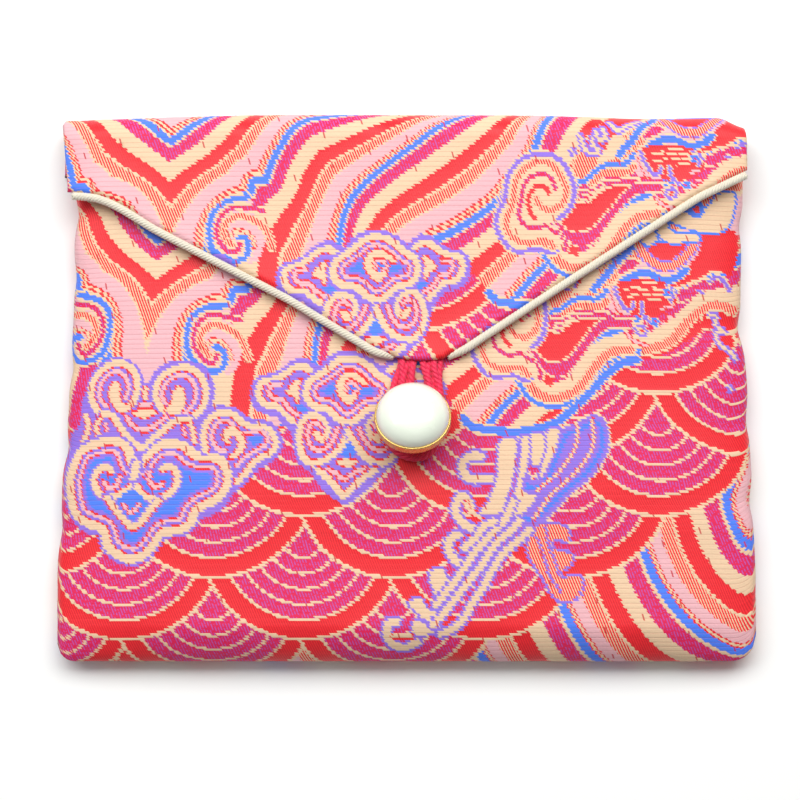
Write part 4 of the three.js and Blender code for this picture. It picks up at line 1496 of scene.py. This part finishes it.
def glaze_material(colour, shade):
    """White glaze with a soft ivory mottle under a clear coat."""
    material, tree, shader = new_material("White glaze")
    place = node(tree, "ShaderNodeTexCoord").outputs["Object"]
    cloudy = node(tree, "ShaderNodeTexNoise", inputs={"Vector": place, "Scale": 160.0, "Detail": 3.0})
    mottle = cloudy.outputs["Fac"]
    glaze = mix_colour(tree, math_node(tree, "MULTIPLY", mottle, 0.5), rgba(colour), rgba(shade))
    tree.links.new(glaze, shader.inputs["Base Color"])
    tree.links.new(math_node(tree, "MULTIPLY_ADD", mottle, 0.1, 0.22), shader.inputs["Roughness"])
    wave = node(tree, "ShaderNodeTexNoise", inputs={"Vector": place, "Scale": 420.0}).outputs["Fac"]
    bump = node(tree, "ShaderNodeBump", inputs={"Strength": 0.04, "Distance": 0.0001, "Height": wave})
    tree.links.new(bump.outputs["Normal"], shader.inputs["Normal"])
    shader.inputs["Coat Weight"].default_value = 0.8
    shader.inputs["Coat Roughness"].default_value = 0.05
    return material


def sweep(bm, path, radius, sides):
    """A thread of round section along a path, closed at both ends, in mm."""
    path = np.asarray(path)
    ahead = np.gradient(path, axis=0)
    ahead /= np.linalg.norm(ahead, axis=1, keepdims=True)
    out = np.cross(ahead, (0.0, 0.0, 1.0))
    out /= np.linalg.norm(out, axis=1, keepdims=True)
    up = np.cross(out, ahead)
    made = bmesh.ops.create_grid(bm, x_segments=len(path) - 1, y_segments=sides, size=0.5)["verts"]
    for vert in made:
        row = round((vert.co.x + 0.5) * (len(path) - 1))
        turn = math.tau * (vert.co.y + 0.5)
        vert.co = path[row] + radius * (math.cos(turn) * out[row] + math.sin(turn) * up[row])
    bmesh.ops.remove_doubles(bm, verts=made, dist=radius * 0.01)


def close_threads(bm):
    """Caps the open ends of threads and turns them right side out, in metres."""
    bmesh.ops.holes_fill(bm, edges=[e for e in bm.edges if e.is_boundary], sides=0)
    bmesh.ops.recalc_face_normals(bm, faces=bm.faces)
    bmesh.ops.scale(bm, vec=(MM, MM, MM), verts=bm.verts)


def path_frame(path):
    """Sideways and upright directions along a path."""
    ahead = np.gradient(path, axis=0)
    ahead /= np.linalg.norm(ahead, axis=1, keepdims=True)
    out = np.cross(ahead, (0.0, 0.0, 1.0))
    out /= np.linalg.norm(out, axis=1, keepdims=True)
    return out, np.cross(out, ahead)


def even_path(points, step):
    """A smooth path through points, with its points a step apart."""
    line = eased_line(points, steps=24)
    run = np.concatenate([[0], np.cumsum(np.linalg.norm(np.diff(line, axis=0), axis=1))])
    at = np.linspace(0, run[-1], max(2, round(run[-1] / step) + 1))
    return np.stack([np.interp(at, run, line[:, k]) for k in range(line.shape[1])], 1), at


def piping_path(start, stop):
    """The piping's middle, just outside the flap's edge and level with its cloth."""
    points = []
    for x in np.linspace(start, stop, PIPING_POINTS):
        left, right = max(x - 1, start), min(x + 1, stop)
        slope = np.diff(np.interp((left, right), *FLAP_EDGE.T))[0] / (right - left)
        out = np.array((slope, -1)) / math.hypot(slope, 1) * (PIPING_RADIUS - PIPING_SINK)
        y = np.interp(x, *FLAP_EDGE.T)
        points.append(np.array((x + out[0] + side_slant(x, y), y + out[1], flap_height(x, y))))
    tip = 0 if start > 0 else -1
    points[tip] += (0, PIPING_RADIUS, -PIPING_TUCK)
    return points


def build_piping(name, start, stop, sizes):
    """A cord of plies laid round a core."""
    path, run = even_path(piping_path(start, stop), sizes.piping_step / MM)
    out, up = path_frame(path)
    ply = PIPING_RADIUS * PLY_SHARE
    bm = bmesh.new()
    sweep(bm, path, PIPING_RADIUS * CORE_SHARE, PLY_SIDES)
    for count in range(sizes.piping_plies):
        turn = math.tau * (run * MM / sizes.piping_lay + count / sizes.piping_plies)
        off = (PIPING_RADIUS - ply) * (np.cos(turn)[:, None] * out + np.sin(turn)[:, None] * up)
        sweep(bm, path + off, ply, PLY_SIDES)
    close_threads(bm)
    return keep_mesh(bm, name)


def build_loop(sizes):
    """Plies of twisted threads that lie side by side round the shank and tuck in under the flap."""
    path, run = even_path(LOOP_ROUTE, LOOP_STEP)
    out, up = path_frame(path)
    thread = sizes.thread_radius / MM
    tuck = 1 - np.clip(1 - np.minimum(run, run[-1] - run) / STRAND_TUCK, 0, 1) ** 2
    narrow = 1 - 0.22 * np.sin(np.pi * run / run[-1]) ** 2
    bm = bmesh.new()
    for ply in range(sizes.loop_plies):
        phase = ply * GOLDEN_TURN
        lane = 2 * ply / (sizes.loop_plies - 1) - 1
        wide = narrow * (STRAND_HALF_WIDTH - PLY_RADIUS) * (lane + 0.18 * np.sin(run * 0.8 + phase))
        high = tuck * (STRAND_HALF_HEIGHT - PLY_RADIUS) * np.sin(run * 0.55 + phase)
        for count in range(sizes.ply_threads):
            turn = phase + math.tau * (run * MM / sizes.loop_lay + count / sizes.ply_threads)
            side = wide + (PLY_RADIUS - thread) * np.cos(turn)
            rise = high + tuck * (PLY_RADIUS - thread) * np.sin(turn)
            sweep(bm, path + side[:, None] * out + rise[:, None] * up, thread, THREAD_SIDES)
    close_threads(bm)
    return keep_mesh(bm, "loop_threads")


def button_matrix():
    """From the button's own axis, in mm, to its place on the pouch, in metres."""
    tilt = math.radians(BUTTON_TILT)
    seat = float(front_height(np.array([BUTTON_X]), np.array([BUTTON_Y]), 1.0)[0]) - DIMPLE_DEPTH + CLEARANCE
    move = Matrix.Translation((BUTTON_X, BUTTON_Y, seat + SHANK_RADIUS * math.sin(tilt)))
    return Matrix.Scale(MM, 4) @ move @ Matrix.Rotation(-tilt, 4, "X")


def turned(name, profile):
    """A piece turned on the button's axis from its radius and height pairs."""
    bm = bmesh.new()
    verts = [bm.verts.new((radius, 0, height)) for radius, height in profile]
    edges = [bm.edges.new(pair) for pair in zip(verts[:-1], verts[1:])]
    bmesh.ops.spin(
        bm, geom=verts + edges, cent=(0, 0, 0), axis=(0, 0, 1), angle=math.tau,
        steps=TURNED_STEPS, use_merge=True,
    )
    bmesh.ops.remove_doubles(bm, verts=bm.verts, dist=0.001)
    bmesh.ops.recalc_face_normals(bm, faces=bm.faces)
    bmesh.ops.transform(bm, matrix=button_matrix(), verts=bm.verts)
    return keep_mesh(bm, name)


def arc(centre, radius, start, stop, steps):
    """Points of an arc in a turned profile, with its angles in degrees."""
    angles = np.radians(np.linspace(start, stop, steps + 1))
    return [(centre[0] + radius * math.cos(a), centre[1] + radius * math.sin(a)) for a in angles]


def dress(piece, node_name, material):
    """Puts a finished piece on the pouch in place of its CAD node."""
    piece.data.materials.append(material)
    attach(piece, "root")
    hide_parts(node_name)


def colour_property(name, description, srgb):
    """A colour setting from its display values."""
    linear = [((c / 255 + 0.055) / 1.055) ** 2.4 if c > 10 else c / 255 / 12.92 for c in srgb]
    return FloatVectorProperty(
        name=name, description=description, subtype="COLOR", size=3, min=0.0, max=1.0, default=linear
    )


class PouchSizes(bpy.types.PropertyGroup):
    """Sizes of the yarns and cords."""

    relief: FloatProperty(
        name="Relief", description="How far the floats stand above the satin ground",
        default=0.00006, min=0.0, unit="LENGTH",
    )
    piping_plies: IntProperty(name="Piping plies", description="Plies in the flap's piping", default=5, min=2)
    piping_lay: FloatProperty(
        name="Piping lay", description="Length of one turn of the piping's plies",
        default=0.003, min=0.0005, unit="LENGTH",
    )
    piping_step: FloatProperty(
        name="Piping step", description="Spacing of the rings along a ply",
        default=0.00022, min=0.00005, unit="LENGTH",
    )
    loop_plies: IntProperty(
        name="Loop plies", description="Plies side by side in the button loop", default=5, min=2
    )
    ply_threads: IntProperty(
        name="Ply threads", description="Threads in each ply of the loop", default=3, min=2
    )
    loop_lay: FloatProperty(
        name="Loop lay", description="Length of one turn of a ply's threads",
        default=0.0026, min=0.001, unit="LENGTH",
    )
    thread_radius: FloatProperty(
        name="Thread radius", description="Radius of one thread of the loop",
        default=0.00033, min=0.00005, unit="LENGTH",
    )


class PouchColours(bpy.types.PropertyGroup):
    """Colours of the yarns, cords, metal and glaze."""

    red: colour_property("Red", "Satin ground and red bands", (242, 48, 56))
    # Dark red also serves as the painted shade in the grooves between ribs
    shade: colour_property("Dark red", "Lines of the satin and tie-down stitches", (196, 24, 40))
    cream: colour_property("Cream", "Cream floats", (231, 199, 166))
    pink: colour_property("Pink", "Pink floats", (232, 179, 187))
    blue: colour_property("Blue", "Blue floats", (78, 128, 245))
    lilac: colour_property("Lilac", "Lilac floats and flecks", (144, 114, 224))
    magenta: colour_property("Magenta", "Twill of the scales and bands", (222, 36, 88))
    cord: colour_property("Cord", "Piping", (226, 220, 204))
    cord_dark: colour_property("Cord shade", "Piping between its fibres", (184, 174, 152))
    thread: colour_property("Thread", "Button loop", (236, 48, 90))
    thread_dark: colour_property("Thread shade", "Button loop between its fibres", (176, 18, 52))
    gold: colour_property("Gold", "Button setting", (230, 200, 122))
    glaze: colour_property("Glaze", "Button dome", (238, 246, 234))
    glaze_shade: colour_property("Glaze mottle", "Cloudy tone in the dome", (226, 240, 218))
    floor: colour_property("Floor", "Studio floor", (245, 247, 248))


class POUCH_OT_pocket(bpy.types.Operator):
    """Fold the pocket from its cloth"""

    bl_idname = "pouch.pocket"
    bl_label = "Pocket"

    def execute(self, context):
        piece, panel = build_pocket(context.scene.pouch_sizes.relief)
        dress(piece, "pouch_body", brocade_material(context.scene.pouch_colours))
        return {"FINISHED"}


class POUCH_OT_flap(bpy.types.Operator):
    """Cut the flap and lay it over the top fold"""

    bl_idname = "pouch.flap"
    bl_label = "Flap"

    def execute(self, context):
        piece, flat, area = build_flap(context.scene.pouch_sizes.relief)
        dress(piece, "flap", brocade_material(context.scene.pouch_colours))
        return {"FINISHED"}


class POUCH_OT_piping(bpy.types.Operator):
    """Lay the twisted piping along the flap's slanting edges"""

    bl_idname = "pouch.piping"
    bl_label = "Piping"

    def execute(self, context):
        colours = context.scene.pouch_colours
        material = thread_material("Cream cord", colours.cord, colours.cord_dark, 0.7, 0.3)
        for node_name, start, stop in PIPING_RUNS:
            piece = build_piping(node_name + "_cord", start, stop, context.scene.pouch_sizes)
            dress(piece, node_name, material)
        return {"FINISHED"}


class POUCH_OT_loop(bpy.types.Operator):
    """Run the thread loop from the flap's tip round the button's shank"""

    bl_idname = "pouch.loop"
    bl_label = "Button loop"

    def execute(self, context):
        colours = context.scene.pouch_colours
        material = thread_material("Crimson thread", colours.thread, colours.thread_dark, 0.45, 0.2)
        dress(build_loop(context.scene.pouch_sizes), "button_loop", material)
        return {"FINISHED"}


class POUCH_OT_button(bpy.types.Operator):
    """Turn the gold setting and the glazed dome"""

    bl_idname = "pouch.button"
    bl_label = "Button"

    def execute(self, context):
        colours = context.scene.pouch_colours
        under = SHANK_LENGTH
        rim = under + CUP_DEPTH
        bed = under + CUP_FLOOR
        setting = [(0, 0), (SHANK_RADIUS - SHANK_BEVEL, 0), (SHANK_RADIUS, SHANK_BEVEL)]
        setting += [(SHANK_RADIUS, under - SHANK_FLARE), (SHANK_RADIUS + SHANK_FLARE, under)]
        setting += [(CUP_FOOT_RADIUS, under)]
        setting += arc((CUP_RADIUS - CUP_ROUNDING, under + CUP_ROUNDING), CUP_ROUNDING, -90, 0, ARC_STEPS)
        setting += [(CUP_RADIUS, rim - RIM_STEP)]
        setting += arc((CUP_RADIUS - RIM_ROUNDING, rim - RIM_ROUNDING), RIM_ROUNDING, 0, 180, ARC_STEPS)
        setting += [(CUP_RADIUS - 2 * RIM_ROUNDING, bed), (0, bed)]
        dress(turned("setting_cup", setting), "button_setting", gold_material(colours.gold))
        foot = under + DOME_FOOT
        girdle = foot + DOME_GIRDLE
        dome = [(0, foot), (DOME_RADIUS - 2 * DOME_BEVEL, foot), (DOME_RADIUS, foot + DOME_BEVEL)]
        for angle in np.radians(np.linspace(0, 90, DOME_STEPS + 1)):
            dome.append((DOME_RADIUS * math.cos(angle), girdle + DOME_RISE * math.sin(angle)))
        dome[-1] = (0, girdle + DOME_RISE)
        glaze = glaze_material(colours.glaze, colours.glaze_shade)
        dress(turned("glazed_dome", dome), "button_cabochon", glaze)
        return {"FINISHED"}


def soft_light(name, place, target, size, power, colour):
    """A softbox that faces the pouch."""
    lamp = bpy.data.lights.new(name, "AREA")
    lamp.shape, lamp.energy, lamp.color = "RECTANGLE", power, colour
    lamp.size, lamp.size_y = size
    light = bpy.data.objects.new(name, lamp)
    light.location = place
    light.rotation_euler = (Vector(target) - Vector(place)).to_track_quat("-Z", "Y").to_euler()
    bpy.context.scene.collection.objects.link(light)


class POUCH_OT_stage(bpy.types.Operator):
    """Set the pale floor, the soft light and the camera"""

    bl_idname = "pouch.stage"
    bl_label = "Stage"

    def execute(self, context):
        scene = context.scene
        bm = bmesh.new()
        bmesh.ops.create_grid(bm, x_segments=1, y_segments=1, size=FLOOR_SIZE)
        bmesh.ops.translate(bm, verts=bm.verts, vec=(0, 0, -FLOOR_DROP))
        floor = keep_mesh(bm, "stage_floor")
        material, tree, shader = new_material("Studio floor")
        place = node(tree, "ShaderNodeTexCoord").outputs["Object"]
        grain = node(tree, "ShaderNodeTexNoise", inputs={"Vector": place, "Scale": 40.0}).outputs["Fac"]
        pale = scene.pouch_colours.floor
        tone = tuple(c * 0.985 for c in pale)
        tree.links.new(mix_colour(tree, grain, rgba(pale), rgba(tone)), shader.inputs["Base Color"])
        shader.inputs["Roughness"].default_value = 0.9
        shader.inputs["Specular IOR Level"].default_value = 0.1
        floor.data.materials.append(material)

        world = bpy.data.worlds.new("studio")
        world.use_nodes = True
        sky = world.node_tree.nodes["Background"]
        sky.inputs["Color"].default_value = (1.0, 1.0, 1.0, 1.0)
        sky.inputs["Strength"].default_value = SKY_STRENGTH
        scene.world = world
        soft_light("key_light", KEY_PLACE, (0, 0, 0), KEY_SIZE, KEY_POWER, (1.0, 0.98, 0.95))
        soft_light("top_light", TOP_PLACE, (0, 0, 0), TOP_SIZE, TOP_POWER, (0.97, 0.99, 1.0))

        lens = bpy.data.cameras.new("camera")
        lens.lens, lens.sensor_width = CAMERA_LENS, CAMERA_SENSOR
        camera = bpy.data.objects.new("camera", lens)
        tilt = math.radians(CAMERA_ELEVATION)
        back = Vector((0, -math.cos(tilt), math.sin(tilt)))
        camera.location = Vector(CAMERA_AIM) + CAMERA_DISTANCE * back
        camera.rotation_euler = (-back).to_track_quat("-Z", "Y").to_euler()
        scene.collection.objects.link(camera)
        scene.camera = camera
        scene.view_settings.view_transform = "Standard"
        return {"FINISHED"}


PIECES = (POUCH_OT_stage, POUCH_OT_pocket, POUCH_OT_flap, POUCH_OT_piping, POUCH_OT_loop, POUCH_OT_button)


class POUCH_PT_panel(bpy.types.Panel):
    """Lists the pouch's pieces and settings"""

    bl_idname = "POUCH_PT_panel"
    bl_label = "Brocade pouch"
    bl_space_type = "VIEW_3D"
    bl_region_type = "UI"
    bl_category = "Pouch"

    def draw(self, context):
        for group in (context.scene.pouch_sizes, context.scene.pouch_colours):
            for name in group.__annotations__:
                self.layout.prop(group, name)
        for piece in PIECES:
            self.layout.operator(piece.bl_idname)


CLASSES = (PouchSizes, PouchColours, *PIECES, POUCH_PT_panel)


def register():
    for made in CLASSES:
        bpy.utils.register_class(made)
    bpy.types.Scene.pouch_sizes = PointerProperty(type=PouchSizes)
    bpy.types.Scene.pouch_colours = PointerProperty(type=PouchColours)


def unregister():
    del bpy.types.Scene.pouch_colours
    del bpy.types.Scene.pouch_sizes
    for made in reversed(CLASSES):
        bpy.utils.unregister_class(made)


def main():
    register()
    bpy.ops.pouch.stage()
    bpy.ops.pouch.pocket()
    bpy.ops.pouch.flap()
    bpy.ops.pouch.piping()
    bpy.ops.pouch.loop()
    bpy.ops.pouch.button()


if __name__ == "__main__":
    main()
